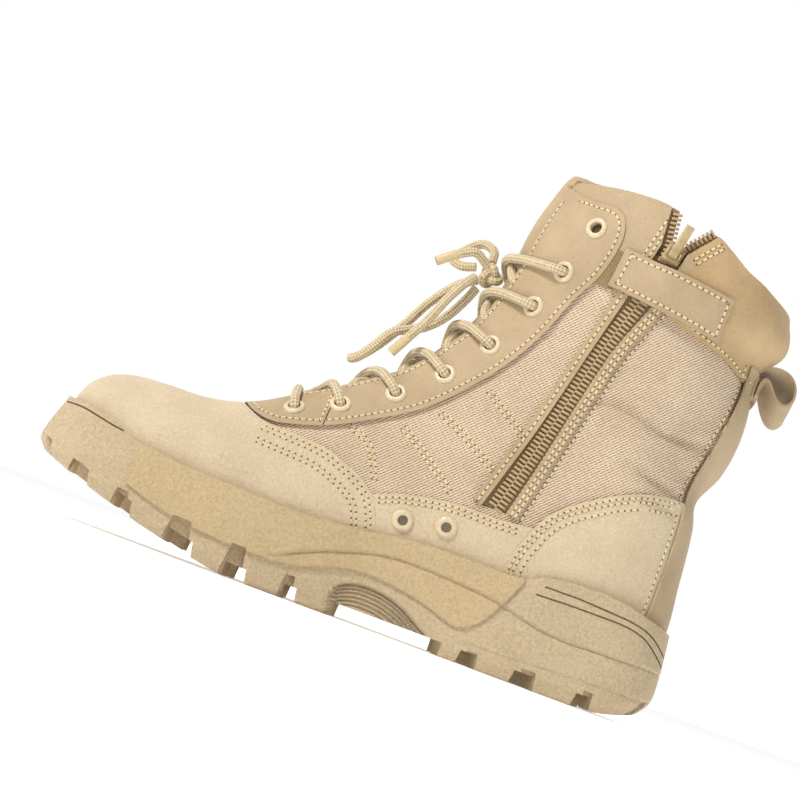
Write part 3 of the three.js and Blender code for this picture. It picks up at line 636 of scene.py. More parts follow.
def plan(inset, steps):
    """The sole's plan moved inwards: x, medial y and lateral y at stations along it."""
    start, end = TOE_END + inset, HEEL_END - inset
    x = (start + end) / 2 - (end - start) / 2 * np.cos(np.pi * np.arange(steps + 1) / steps)
    toe = np.maximum(1 - (x - start) / (TOE_ROUND - inset), 0)
    heel = np.maximum(1 - (end - x) / (HEEL_ROUND - inset), 0)
    ends = np.maximum(1 - toe**2.3, 0) ** (1 / 2.3) * np.maximum(1 - heel**2.2, 0) ** (1 / 2.2)
    half = (PLAN("half", x) - inset) * ends
    centre = PLAN("centre", x)
    return x, centre - half, centre + half


def step_up(value, width):
    """0 below zero and 1 above, with a soft step of a width."""
    t = np.clip(value / width + 0.5, 0, 1)
    return t * t * (3 - 2 * t)


def line_height(line, x):
    line = np.asarray(line, float)
    return through(line[:, 0], line[:, 1], x)


def groove(x, z, line, half_width):
    """1 on a line, fading to 0 at about twice the half width from it."""
    return np.exp(-(((z - line_height(line, x)) / half_width) ** 2))


def sole_relief(x, z):
    """How far the mould's details stand out of the sidewall."""
    wave = line_height(WAVE_LINE, x)
    on_wave = step_up(x + 30, 12)
    out = 0.9 * step_up(z - wave, 1.6) * on_wave
    out -= 0.6 * groove(x, z + 0.6, WAVE_LINE, 0.6) * on_wave
    for line in HEEL_GROOVES:
        out -= 0.4 * groove(x, z, line, 0.9) * step_up(x - line[0][0], 1)
    out -= 0.4 * groove(x, z, TOE_GROOVE, 0.9) * step_up(-114.5 - x, 1.5)
    out -= 0.5 * groove(x, z, LOW_LINE, 0.6) * step_up(x - 60, 3)
    # Arch window: a sunk crescent with moulded ribs.
    top = ARCH("top", x)
    inside = step_up(top - z, 1.0) * step_up(x + 1, 1.5) * step_up(46 - x, 2)
    ribs = 0.5 - 0.5 * np.cos(2 * np.pi * (top - z) / 1.9)
    out -= inside * (1.4 + 1.5 * ribs)
    return out


def sole_block(name, top, proud=0.0, steps=360, levels=118):
    """The sole's solid between tread and a top line, with the details on its side."""
    rings = []
    for part in np.linspace(0, 1, levels):
        inset = float(SIDEWALL("inset", part)) - proud
        x, medial, lateral = plan(inset, steps)
        z = tread(x) + (top(x) - tread(x)) * part
        near = np.maximum(1 - (x - TOE_END) / TOE_ROUND, 0)
        out = sole_relief(x, z)
        centre, half = (medial + lateral) / 2, (lateral - medial) / 2
        half = half + out * np.minimum(half / 12, 1)
        leaning = x + TOE_LEAN * part * near**2
        low = np.stack([leaning, centre - half, z], axis=1)
        high = np.stack([leaning, centre + half, z], axis=1)
        rings.append(np.vstack([low, high[-2:0:-1]]))
    count = len(rings[0])
    faces = wall_faces(levels, count)
    half_count = count // 2
    for base in (0, (levels - 1) * count):
        for i in range(half_count):
            strip = [i, i + 1, count - i - 1, (count - i) % count]
            faces.append([base + j for j in dict.fromkeys(strip)])
    return mesh_piece(name, np.concatenate(rings), faces)


GROOVE_WIDE, GROOVE_DEEP = 0.7, 2.0


def mould_groove(line, core):
    """A cutter for a sharp groove along a line: a thin strip outside the sole's core."""
    dense = curve(line, 1.5)
    low, high = sideways(dense, -GROOVE_WIDE / 2), sideways(dense, GROOVE_WIDE / 2)
    strip = across("groove_strip", band(low, high))
    return boolean(strip, core, "DIFFERENCE", keep_tool=True)


EDGE_LUGS = [
    [-148, -133], [-123.5, -108.5], [-99.5, -81.5], [-67.5, -52], [-41, -24], [-17, -1],
    [56, 65], [73, 91], [101, 121], [128, 158],
]  # fmt: skip
# Between the edge lugs the sidewall is notched: from x, to x, and the notch's top.
WALL_NOTCHES = [
    [-133, -123.5, 26], [-108.5, -99.5, 21], [-81.5, -67.5, 18.2], [-52, -41, 15.6],
    [-24, -17, 11.2], [65, 73, 7.4], [91, 101, 8.4], [121, 128, 8.8],
]  # fmt: skip
NOTCH_DEEP = 7.0
MIDDLE_LUGS = [
    [-156, -142, 26], [-133, -119, 13], [-111, -97, 13], [-88, -72, 13], [-62, -46, 13],
    [-36, -21, 13], [-11, 5, 13], [62, 77, 13], [87, 103, 13], [112, 126, 13], [141, 166, 26],
]  # fmt: skip
LUG_DRAFT = 1.3  # how much narrower a lug is at the ground, each side


def lug(outline, floor_height):
    """One lug as a solid that narrows towards the ground."""
    outline = np.asarray(outline, float)
    middle = outline.mean(axis=0)
    reach = np.linalg.norm(outline - middle, axis=1, keepdims=True)
    low = outline - (outline - middle) / reach * LUG_DRAFT
    high = outline + (outline - middle) / reach * 0.4
    count = len(outline)
    points = [(x, y, floor_height - 3) for x, y in low]
    points += [(x, y, floor_height + LUG + 6) for x, y in high]
    faces = [list(range(count)), list(range(2 * count - 1, count - 1, -1))]
    faces += [[i, (i + 1) % count, (i + 1) % count + count, i + count] for i in range(count)]
    return points, faces


def all_lugs(name):
    points, faces = [], []

    def put(outline, middle):
        more_points, more_faces = lug(outline, float(tread(np.array(middle))))
        faces.extend([[i + len(points) for i in face] for face in more_faces])
        points.extend(more_points)

    for start, end in EDGE_LUGS:
        middle = (start + end) / 2
        centre, half = float(PLAN("centre", middle)), float(PLAN("half", middle))
        slant = 4 if middle < 0 else -4
        for side in (-1, 1):
            inner = centre + side * max(half - 24, 18)
            outer = centre + side * (half + 10)
            corners = [start, outer], [end, outer], [end + slant, inner], [start + slant, inner]
            put(corners, middle)
    for start, end, half in MIDDLE_LUGS:
        middle = (start + end) / 2
        centre = float(PLAN("centre", middle))
        left, right = centre - half, centre + half
        put([
            [start, left], [start - 5, centre], [start, right],
            [end, right], [end - 5, centre], [end, left],
        ], middle)  # fmt: skip
    return mesh_piece(name, points, faces)


def wall_notches(name):
    """Cutters for the notches: wedges that narrow upwards, on both sides of the sole."""
    x, medial, lateral = plan(0, 200)
    points, faces = [], []
    for start, end, top in WALL_NOTCHES:
        middle, low = (start + end) / 2, float(tread(np.array(start))) - 4
        for edge, side in ((medial, -1), (lateral, 1)):
            first = len(points)
            for high, narrow, shallow in ((low, 1.1, 0.0), (top, 0.62, 2.0)):
                for at in (start, end):
                    wall = float(np.interp(at, x, edge))
                    place = middle + (at - middle) * narrow
                    deep = NOTCH_DEEP - shallow
                    points += [(place, wall - side * deep, high), (place, wall + side * 12, high)]
            faces += [[first + i for i in face] for face in (
                (0, 1, 3, 2), (4, 6, 7, 5), (0, 4, 5, 1), (2, 3, 7, 6), (0, 2, 6, 4), (1, 5, 7, 3)
            )]  # fmt: skip
    return mesh_piece(name, points, faces)


# %% [markdown]
# ### Cutting the sole
# The spaces between the lugs are a slab minus the lugs. The cavity is the upper's own form, a
# little larger, above the footbed. One side-view line then parts the midsole from the outsole.

# %% Sole pieces
between = below_line("between_lugs", lambda x: tread(x) + LUG)
boolean(between, all_lugs("lugs"), "DIFFERENCE")
cavity = form("cavity", GAP)
boolean(cavity, below_line("footbed", lambda x: HEIGHTS("footbed", x)), "DIFFERENCE")

midsole_edge = curve(MIDSOLE_LINE[1:-1], 1.5).tolist()


def midsole_region(name, shrink):
    line = sideways(np.array([[-104, 60], *midsole_edge, [84, 60]]), -shrink)
    line[0, 1] = line[-1, 1] = 260
    return across(name, line)


outsole = sole_block("outsole_rubber", rim)
boolean(outsole, between, "DIFFERENCE", keep_tool=True)
notches = wall_notches("wall_notches")
boolean(outsole, notches, "DIFFERENCE", keep_tool=True)
boolean(outsole, cavity, "DIFFERENCE", keep_tool=True)
boolean(outsole, midsole_region("midsole_space", 0), "DIFFERENCE")
core = sole_block("groove_core", rim, -GROOVE_DEEP, 160, 40)
for line in (*HEEL_GROOVES, TOE_GROOVE):
    boolean(outsole, mould_groove(line, core), "DIFFERENCE")
bpy.data.objects.remove(core)
smooth(outsole, 30)
dress(outsole, rubber, replaced=["outsole"])

midsole = sole_block("midsole_band", rim, proud=1.2)
boolean(midsole, between, "DIFFERENCE")
boolean(midsole, notches, "DIFFERENCE")
boolean(midsole, cavity, "DIFFERENCE")
boolean(midsole, midsole_region("midsole_part", 0.05), "INTERSECT")
smooth(midsole, 30)
dress(midsole, midsole_rubber, replaced=["midsole"])

# %% [markdown]
# ## Upper
# The upper is a shell of one wall with panels sewn onto it. The nylon shows on the quarters and
# the shaft. Where it bends with the ankle it has soft folds, placed as troughs between
# low ridges.

# %% Folds and puckers
# Each is a trough along a line in side view, with its depth and its half width.
FOLDS = [
    ([[84, 135], [95, 135.5], [106, 134.2], [116, 131.6], [128, 133.2], [141, 134]], 3.0, 3),
    ([[103, 115], [109, 112.6], [117, 110.4], [126, 108.8], [138, 107.8]], 3.0, 2.8),
    ([[84, 150], [99, 151], [116, 149.5]], 1.1, 3.4), ([[112, 100.5], [137, 100]], 1.3, 2.2),
    ([[88, 121], [104, 124], [122, 123]], 1.3, 3.6), ([[92, 166], [112, 168], [134, 164]], 1, 4),
    ([[48, 154], [66, 161]], 0.9, 3.5), ([[35, 124], [58, 108]], 0.7, 1.8),
    ([[18, 106], [50, 88.5]], 0.7, 1.8), ([[3, 94], [35, 72]], 0.7, 1.8),
    ([[-20, 85.5], [0, 65]], 0.7, 1.8),
]


def folds(x, y, z):
    out = np.zeros_like(x)
    for line, depth, width in FOLDS:
        line = np.array(line, float)
        line = curve(line, 6.0) if len(line) > 2 else line
        before = distances_along(line)
        away, share = np.full_like(x, 1e3), np.zeros_like(x)
        for start, end, past in zip(line[:-1], line[1:], before):
            reach, to = np.linalg.norm(end - start), unit(end - start)
            along = np.clip((x - start[0]) * to[0] + (z - start[1]) * to[1], 0, reach)
            gap = np.hypot(x - start[0] - along * to[0], z - start[1] - along * to[1])
            share = np.where(gap < away, (past + along) / before[-1], share)
            away = np.minimum(gap, away)
        trough = np.exp(-((away / width) ** 2))
        ridge = np.exp(-(((away - 2 * width) / (1.2 * width)) ** 2))
        out += depth * (0.35 * ridge - trough) * (0.25 + 0.75 * np.sin(np.pi * share) ** 0.5)
    return out * step_up(np.abs(y) - 14, 10)


# %% [markdown]
# ### Shell, throat and zip slot

# %% Shell
COLLAR_LINE = [
    [20, 236], [45, 233.5], [65, 233.5], [82, 232.5], [92, 229.5], [110, 225.5], [118, 221.5],
    [128, 216], [138, 213], [148, 209.5], [170, 205],
]  # fmt: skip
ZIP_FRONT = [[50, 72], [56, 92], [62, 112], [69, 140], [73, 157], [80, 186], [86, 214]]
ZIP_REAR = [[62, 72], [67, 92], [71.5, 112], [78, 142], [83, 162], [92, 186], [98.5, 212]]
NOTCH = [[86, 213.9], [98.5, 211.9], [110, 226], [112, 245], [84, 245]]


def above_collar(name, raise_by=0.0):
    line = curve(COLLAR_LINE, 2) + np.array([0, raise_by])
    return across(name, [[-10, 290], [-10, 236], *line.tolist(), [180, 290]])


THROAT_LOW, THROAT_HIGH = -9.0, 18.0  # the cutter's reach under and over the skin


def throat(name):
    """A cutter: the opening over the tongue, square to each section."""
    rings = []
    for at in np.linspace(7.6, 25, 80):
        cut = ring(at)
        gap = float(THROAT("gap", at))
        left, right = on_ring(cut, [-gap, gap])
        row = section(at)
        up = unit(np.array([row["top_x"] - row["foot_x"], 0, row["top_z"] - row["foot_z"]]))
        low, high = up * THROAT_LOW, up * THROAT_HIGH
        rings.append(np.array([left + low, right + low, right + high, left + high]))
    return mesh_piece(name, *skin_rings(rings))


def zip_slot(name, inset):
    front = sideways(curve(ZIP_FRONT, 2), inset)
    rear = sideways(curve(ZIP_REAR, 2), -inset)
    return across(name, band(front, rear), -80, 0)


def between_forms(name, inner, outer, relief=None):
    skin = form(name, outer, relief)
    return boolean(skin, form("inner", inner, relief), "DIFFERENCE")


def open_sides(piece):
    """Cuts throat, zip slot and the notch over the zip."""
    boolean(piece, throat("throat"), "DIFFERENCE")
    boolean(piece, zip_slot("slot", 0), "DIFFERENCE")
    return boolean(piece, across("notch", NOTCH, -80, 0), "DIFFERENCE")


def open_up(piece):
    """Cuts collar, throat, zip slot and the open underside into a skin of the upper."""
    boolean(piece, below_line("under", lambda x: HEIGHTS("footbed", x) + GAP), "DIFFERENCE")
    boolean(piece, above_collar("over"), "DIFFERENCE")
    return open_sides(piece)


shell = open_up(between_forms("upper_shell", -1.4, 0, folds))
inner_lining = open_up(between_forms("upper_lining", -WALL, -1.4, folds))

# %% [markdown]
# ## Panels
# Suede and leather panels lie on the shell. Each is the space between two liftings of the same
# form, cut to its pattern in side view. A maker cuts them flat and stretches them over the last;
# cutting them from the form gives the stretched result at once.

# %% Panel outlines
VAMP_EDGE = [
    [11, 30], [8, 43.5], [4.7, 52.4], [0.8, 58.9], [-4.8, 62.9], [-9.9, 65.8], [-16.8, 68.3],
    [-23.6, 70.7], [-32, 72], [-46.3, 72.7], [-56.5, 73.2], [-63, 75.4], [-69.7, 78.9],
]  # fmt: skip
QUARTER_TOP = [
    [-12, 53], [3, 59.6], [10, 62.6], [20, 65.3], [40, 68.4], [60, 68.5], [84, 71],
]  # fmt: skip
COUNTER_TOP = [
    [69.5, 40], [70.5, 52], [73, 62], [80, 77], [88, 85], [97, 91.5], [108, 98], [120, 103],
    [134, 106], [160, 106],
]  # fmt: skip
EYESTAY_REAR = [
    [-70.5, 80.5], [-64, 76.6], [-57, 74.9], [-50, 75.2], [-30, 81.5], [-10, 92.5], [10, 105.7],
    [30, 126.5], [42, 143], [50, 157.5], [57.5, 176.5], [64.5, 190], [67.8, 202], [68.6, 212],
    [66.3, 220], [61.5, 223.6], [53.5, 224.6], [45, 226],
]  # fmt: skip
COLLAR_SEAM = [
    [88, 186], [96, 184], [110, 180], [125, 176.5], [135, 174], [142, 171], [150, 169],
    [170, 166],
]  # fmt: skip
STRAP = [[71.5, 206], [126, 199.5], [126, 179.5], [69.5, 187.5]]
BACK_STAY = [
    [140.2, 44], [140.8, 60], [140.8, 74], [141, 88], [140.4, 100], [139.8, 108], [139.6, 114],
    [142, 125], [143.6, 137], [145.3, 146], [147, 155], [147.8, 167], [147.4, 178],
]  # fmt: skip


def collar_puff(x, z):
    """How far the foam swells between the collar's seam and its top edge."""
    seam = line_height(COLLAR_SEAM, x)
    top = line_height(COLLAR_LINE, x)
    rise = np.clip((z - seam) / np.maximum(top - seam, 10), 0, 1)
    return 3.2 * np.sin(np.pi * np.clip(rise, 0.02, 0.92)) ** 0.6 * step_up(x - 92, 14)


def folds_and_puff(x, y, z):
    return folds(x, y, z) + collar_puff(x, z) * step_up(z - line_height(COLLAR_SEAM, x), 2)


def panel(name, outline, inner, outer, relief=folds, low=-80.0, high=80.0):
    """A piece of the skin between two lifts, cut to an outline in side view."""
    piece = between_forms(name, inner, outer, relief)
    boolean(piece, across("pattern", outline, low, high), "INTERSECT")
    boolean(piece, below_line("under", lambda x: rim(x) - 4), "DIFFERENCE")
    return boolean(piece, above_collar("over"), "DIFFERENCE")


def closed(line, *corners, step=2.0):
    """An outline from a smooth line and straight corners."""
    return [*curve(line, step).tolist(), *corners]


# %% Suede panels
vamp = panel("vamp", closed(VAMP_EDGE, (-72, 110), (-170, 110), (-170, 10), (11, 10)), -0.3, 1.5)
quarter = panel("quarter", closed(QUARTER_TOP, (84, 20), (-12, 20)), -0.3, 1.1)
boolean(quarter, zip_slot("slot", 0), "DIFFERENCE")
counter = panel("heel_counter_panel", closed(COUNTER_TOP, (170, 20), (69.5, 20)), -0.3, 1.7)
eyestay_outline = closed(EYESTAY_REAR, (30, 236), (20, 250), (-72, 160))
smooth_leather = panel("eyestays", eyestay_outline, -0.3, 1.9)
boolean(smooth_leather, throat("throat"), "DIFFERENCE")
# The eyestay is made of two parts, butted at a seam behind the first eyelet.
seam_slit = across("seam_slit", [(-31.9, 74), (-31.4, 74), (-30.2, 108), (-30.7, 108)])
boolean(smooth_leather, seam_slit, "DIFFERENCE")
flap = panel(
    "front_flaps",
    [(63, 187), (77, 185.5), (80.3, 186), (86.3, 214), (92, 245), (20, 250), (28, 212), (50, 203)],
    -0.3, 1.2,
)  # fmt: skip
boolean(flap, across("notch", NOTCH, -80, 0), "DIFFERENCE")
boolean(flap, throat("throat"), "DIFFERENCE")
elastic = panel(
    "elastic_patch", [(63, 187.4), (72.5, 186.4), (74, 204), (66, 205)], 0.9, 1.6, folds, -80, 0
)
rear_collar = panel(
    "rear_collar", closed(COLLAR_SEAM, (180, 250), (86, 250), (88, 205)), -0.6, 1.3,
    folds_and_puff,
)  # fmt: skip
open_sides(rear_collar)

# %% Bindings, strap and back stay
zip_front_edge, zip_rear_edge = curve(ZIP_FRONT, 2), curve(ZIP_REAR, 2)
front_binding = panel(
    "zip_binding_front",
    [*zip_front_edge.tolist(), *sideways(zip_front_edge, -5)[::-1].tolist()],
    -0.3, 1.5, folds, -80, 0,
)  # fmt: skip
rear_binding = panel(
    "zip_binding_rear",
    [*sideways(zip_rear_edge, 0.4).tolist(), *sideways(zip_rear_edge, 5.5)[::-1].tolist()],
    -0.3, 1.4, folds_and_puff, -80, 0,
)  # fmt: skip
strap = panel("strap_leather", STRAP, 1.9, 4.1, folds_and_puff, -80, 0)
back_stay = panel(
    "back_stay", closed(BACK_STAY, (190, 178), (190, 44)), -0.3, 2.3, folds_and_puff
)

# %% [markdown]
# ## Eyelets
# An eyelet is a rolled metal tube with a flange, painted to match. One is spun from its profile
# and copied to every place. Its hole goes through leather, nylon and lining.

# %% Eyelet places
EYELETS = [
    [-47, 85], [-27.5, 94], [-5, 108], [13.5, 124.5], [28.8, 145], [41.2, 168.5], [48.8, 188],
    [55.8, 212],
]  # fmt: skip
VENTS = [[18.5, 52.5], [38.5, 56.5]]


def surface_tree(*pieces):
    """A tree to shoot rays at, of the faces of all the pieces."""
    points, faces = [], []
    for piece in pieces:
        start = len(points)
        points += [v.co.copy() for v in piece.data.vertices]
        faces += [[start + i for i in p.vertices] for p in piece.data.polygons]
    return BVHTree.FromPolygons(points, faces)


def side_hit(tree, x, z, side):
    """Where a line across the boot first meets a surface, in mm, with its normal."""
    start = Vector(metres((x, side * 150.0, z)))
    place, normal, _, _ = tree.ray_cast(start, Vector((0, -side, 0)))
    if place is None:
        return None
    normal = normal if normal.y * side > 0 else -normal
    return np.array(place) / MM - ORIGIN, np.array(normal)


ground = surface_tree(smooth_leather, quarter)
smooth_ground = surface_tree(form("soft_ground", 1.0))
bpy.data.objects.remove(bpy.data.objects["soft_ground"])


def facing(place, normal, towards=(0, 0, 1)):
    """A turn and move that stands a piece on a surface, its Z along the normal."""
    z = unit(np.array(normal))
    x = unit(np.cross(towards, z))
    y = np.cross(z, x)
    turn = np.eye(4)
    turn[:3, 0], turn[:3, 1], turn[:3, 2], turn[:3, 3] = x, y, z, metres(place)
    return Matrix(turn.tolist())


def on_surface(tree, x, z, side):
    """The height of the real surface, with the calmer normal of the plain form under it."""
    place, _ = side_hit(tree, x, z, side)
    _, normal = side_hit(smooth_ground, x, z, side)
    return place, normal


eyelet_places = {
    (side, row): on_surface(ground, x, z, side)
    for side in (-1, 1)
    for row, (x, z) in enumerate(EYELETS, 1)
}
vent_places = [on_surface(ground, x, z, -1) for x, z in VENTS]


DRILL_STEPS, DRILL_REACH = 28, 0.009  # points round the drill, metres to each side


def drill(piece, places, radius):
    """Holes of a radius through a piece, square to its surface."""
    points, faces = [], []
    for place, normal in places:
        turn = facing(place, normal)
        start = len(points)
        for high in (-DRILL_REACH, DRILL_REACH):
            for i in range(DRILL_STEPS):
                a = 2 * math.pi * i / DRILL_STEPS
                corner = turn @ Vector((radius * MM * math.cos(a), radius * MM * math.sin(a), high))
                points.append(np.array(corner) / MM - ORIGIN)
        lower = [start + i for i in range(DRILL_STEPS)]
        upper = [i + DRILL_STEPS for i in lower]
        faces += [lower, upper[::-1]]
        faces += zip(lower, upper, upper[1:] + upper[:1], lower[1:] + lower[:1])
    return boolean(piece, mesh_piece("drill", points, faces), "DIFFERENCE")


for piece in (smooth_leather, flap, shell, inner_lining):
    drill(piece, eyelet_places.values(), 2.85)
for piece in (quarter, shell):
    drill(piece, vent_places, 2.4)

# %% Spin the eyelet
EYELET_PROFILE = [
    (2.75, -2.6), (2.75, 0.2), (2.95, 0.85), (3.4, 1.1), (4.1, 1.05), (4.75, 0.75), (5.2, 0.1),
    (5.2, -0.3),
]  # fmt: skip


SPIN_STEPS = 40


def spun(name, profile):
    """A turned piece: a profile of radius and height, spun about Z."""
    mesh = bpy.data.meshes.new(name)
    points = [(r * MM, 0, z * MM) for r, z in profile]
    mesh.from_pydata(points, [(i, i + 1) for i in range(len(points) - 1)], [])
    piece = bpy.data.objects.new(name, mesh)
    bpy.context.collection.objects.link(piece)
    select_only(piece)
    bpy.ops.object.mode_set(mode="EDIT")
    bpy.ops.mesh.select_all(action="SELECT")
    bpy.ops.mesh.spin(steps=SPIN_STEPS, angle=2 * math.pi, center=(0, 0, 0), axis=(0, 0, 1))
    bpy.ops.mesh.select_all(action="SELECT")
    bpy.ops.mesh.remove_doubles(threshold=1e-6)
    bpy.ops.mesh.normals_make_consistent(inside=False)
    bpy.ops.object.mode_set(mode="OBJECT")
    return piece


# Zinc-plated steel under tan enamel: smooth and a little glossy, its plating warm.
enamel = grained("tan_enamelled_steel", "c5b294", "d8c6a8", 0.38, 2.5, 0.02, Coat_Weight=0.2)
# A dark cloth for painted shade: its discs and plugs stand for the shadow inside the eyelet and
# vent holes.
shadow_cloth = grained("painted_hole_shade_cloth", "4a3c29", "5d4c35", 0.95, 0.8, 0.05)


def place_copy(source, name, place, normal, material, replaced=None):
    piece = copy_of(source, name)
    piece.data.transform(facing(place, normal))
    smooth(piece, 40)
    return dress(piece, material, replaced=[replaced] if replaced else ())


eyelet = spun("eyelet_source", EYELET_PROFILE)
for (side, row), (place, normal) in eyelet_places.items():
    name = "medial" if side < 0 else "lateral"
    place_copy(eyelet, f"eyelet_ring_{name}_{row}", place, normal, enamel, f"eyelet_{name}_{row}")
bpy.data.objects.remove(eyelet)

# %% [markdown]
# Behind each eyelet the boot is dark: a small dark disc, painted shade, stands for the shadow in
# the hole. The two vents over the arch have a heavier ring with a fine metal mesh inside it.

# %% Painted shade discs and vents
# Each disc is painted shade, set under an eyelet's hole.
disc = spun("shade_disc_source", [(0.0, 0.1), (1.6, 0.1), (2.9, 0.0), (2.9, -0.4), (0.0, -0.4)])
shade_discs = []
for place, normal in eyelet_places.values():
    back = copy_of(disc, "back")
    back.data.transform(facing(place - normal * 1.9, normal))
    shade_discs.append(back)
bpy.data.objects.remove(disc)
dress(join("eyelet_painted_shade", shade_discs), shadow_cloth)

VENT_PROFILE = [
    (2.35, -1.0), (2.35, 0.9), (2.6, 1.35), (3.3, 1.55), (4.3, 1.3), (5.0, 0.7), (5.35, 0.0),
    (5.35, -0.4),
]  # fmt: skip
vent = spun("vent_source", VENT_PROFILE)


def vent_mesh(name):
    """Crossed wires across a vent's hole."""
    points, faces = [], []

    def bar(ax, ay, bx, by, high):
        start = len(points)
        to = np.array([bx - ax, by - ay])
        off = np.array([-to[1], to[0]]) / np.hypot(*to) * 0.16
        for end in (np.array([ax, ay]), np.array([bx, by])):
            for sign, up in ((-1, 0), (1, 0), (1, 0.3), (-1, 0.3)):
                points.append((*(end + sign * off), high + up))
        faces.extend([start + i for i in face] for face in (
            (0, 1, 2, 3), (7, 6, 5, 4), (0, 4, 5, 1), (1, 5, 6, 2), (2, 6, 7, 3), (3, 7, 4, 0)
        ))  # fmt: skip

    for i in range(-3, 4):
        off = i * 0.66
        reach = math.sqrt(2.45**2 - off**2)
        bar(off, -reach, off, reach, -0.2)
        bar(-reach, off, reach, off, -0.05)
    return mesh_piece(name, np.array(points) - ORIGIN, faces)


wire = vent_mesh("wire_source")
steel_wire, _, _ = new_material("dull_steel_wire", "9a8f80", 0.45, Metallic=0.7)
# A dark plug under each vent's mesh is painted shade: it stands for the shadow deep in the vent's
# hole.
shade_plug = spun("shade_plug_source", [(0.0, -0.6), (2.4, -0.6), (2.4, -1.0), (0.0, -1.0)])
for number, (place, normal) in enumerate(vent_places, 1):
    place_copy(vent, f"vent_ring_{number}", place, normal, enamel, f"vent_{number}")
    place_copy(wire, f"vent_mesh_{number}", place, normal, steel_wire)
    place_copy(shade_plug, f"vent_painted_shade_{number}", place, normal, shadow_cloth)
for source in (vent, wire, shade_plug):
    bpy.data.objects.remove(source)

# %% Dress the panels
# Woven polyester, as zip tape and elastic are made of.
tape_cloth = woven("zip_tape_polyester", "6a583e", "a28b67", 0.9, 0.3)
for piece, material, slot, replaced in (
    (shell, nylon, "suede", ["upper"]), (inner_lining, lining, "lining", ()),
    (vamp, suede, "suede", ()), (quarter, suede, "suede", ()),
    (counter, suede, "suede", ["heel_counter"]),
    (smooth_leather, leather, "leather", ["eyestay_medial", "eyestay_lateral"]),
    # The rear collar wears the darker copy of the leather, which carries painted shade.
    (flap, leather, "leather", ()), (rear_collar, collar_shaded_leather, "leather", ()),
    (front_binding, leather, "leather", ()), (rear_binding, leather, "leather", ()),
    (strap, leather, "leather", ["strap"]), (back_stay, leather, "leather", ()),
    (elastic, tape_cloth, "suede", ()),
):  # fmt: skip
    smooth(piece, 40)
    dress(piece, material, replaced=replaced)

# %% [markdown]
# ## Zip
# A chunky moulded zip: a woven tape with two rows of teeth that lie between each other. Below the
# slider the rows are closed. Above it they part with the notch, and each half runs up along its
# own edge to the collar.

# %% Tape and teeth
zip_ground = surface_tree(form("zip_ground", -0.9))
bpy.data.objects.remove(bpy.data.objects["zip_ground"])
tape = between_forms("zip_tape", -2.1, -0.9, folds)
boolean(tape, zip_slot("slot", -1.5), "INTERSECT")
FRONT_HALF = [[85.6, 207], [86.4, 214], [85.6, 222], [84.8, 232]]
REAR_HALF = [[97.4, 207], [99.2, 212.5], [104.5, 218.6], [110.4, 225.6]]
HALF_TAPE = 4.2
tapes = [tape]
for line, side in ((FRONT_HALF, 1), (REAR_HALF, -1)):
    half = between_forms("half_tape", -2.1, -0.9)
    edge = curve(line, 2)
    near, far = sideways(edge, -0.6 * side), sideways(edge, HALF_TAPE * side)
    tapes.append(boolean(half, across("half", band(near, far), -80, -30), "INTERSECT"))
tape = join("zip_tape", tapes)
smooth(tape, 40)
dress(tape, tape_cloth, replaced=["zip_chain"])
tooth_plastic, _, _ = new_material("moulded_zip_teeth", "b29a76", 0.5)


def tooth(name):
    """One moulded tooth: a foot on the tape and a head that hooks over its neighbour."""
    sizes = [(2.3, 0.45, 0.0), (2.3, 0.6, 0.6), (2.0, 0.6, 1.15), (1.4, 0.35, 1.55)]
    points = []
    for half_long, half_wide, high in sizes:
        points += [(sx * half_long, sy * half_wide, high) for sx, sy in
                   ((-1, -1), (1, -1), (1, 1), (-1, 1))]  # fmt: skip
    faces = [*wall_faces(len(sizes), 4), [3, 2, 1, 0], [12, 13, 14, 15]]
    return mesh_piece(name, np.array(points) - ORIGIN, faces)


tooth_source = tooth("tooth_source")
TOOTH_PITCH, TOOTH_OUT = 2.2, 1.9
SLIDER_Z = 207.0
teeth = []


def evenly(line):
    """A line at 21 places, an even share of its points apart."""
    share = np.linspace(0, 1, 21)
    whole = np.linspace(0, 1, len(line))
    return np.stack([np.interp(share, whole, line[:, i]) for i in (0, 1)], axis=1)


middle_line = 0.47 * evenly(curve(ZIP_FRONT, 0.5)) + 0.53 * evenly(curve(ZIP_REAR, 0.5))


def put_teeth(line, sides, end=300.0):
    """Teeth along a line in side view, in turn on each of the given sides of it."""
    dense = curve(line, 0.1)
    steps = np.arange(8, len(dense) - 8, TOOTH_PITCH / len(sides) * 10).astype(int)
    for number, i in enumerate(steps):
        along = unit(dense[i + 5] - dense[i - 5])
        out = TOOTH_OUT * sides[number % len(sides)]
        x, z = dense[i] + np.array([along[1], -along[0]]) * out
        found = side_hit(zip_ground, x, z, -1)
        if z < end and found is not None:
            place, normal = found
            piece = copy_of(tooth_source, "tooth")
            piece.data.transform(facing(place - normal * 0.1, normal, (along[0], 0, along[1])))
            teeth.append(piece)


put_teeth(middle_line, (1, -1), SLIDER_Z)
put_teeth(sideways(curve(FRONT_HALF, 1), HALF_TAPE - 0.8), (0.1,))
put_teeth(sideways(curve(REAR_HALF, 1), 0.8 - HALF_TAPE), (0.1,))
bpy.data.objects.remove(tooth_source)
dress(join("zip_teeth", teeth), tooth_plastic)

# %% [markdown]
# ## Stitching
# A stitch is a short swelling of thread between two needle holes. Each row is drawn in side view
# beside a panel's edge, thrown onto the surface, and divided into even stitches. A stitch is a
# small mesh, so that it catches the light like the real one.

# %% Rows of stitches
outside = surface_tree(
    shell, vamp, quarter, counter, smooth_leather, flap, rear_collar, front_binding,
    rear_binding, back_stay,
)  # fmt: skip
strap_face = surface_tree(strap)
STITCH = 3.1
LEAP = 8.0  # where neighbours on a line land this far apart, the line has run off the piece


def thrown(line, side, tree=outside):
    """A line in side view, thrown onto the outer surface of one side."""
    places, normals = [], []
    for x, z in curve(line, 0.8):
        found = side_hit(tree, x, z, side)
        if found is not None:
            places.append(found[0])
            normals.append(found[1])
    return np.array(places), np.array(normals)


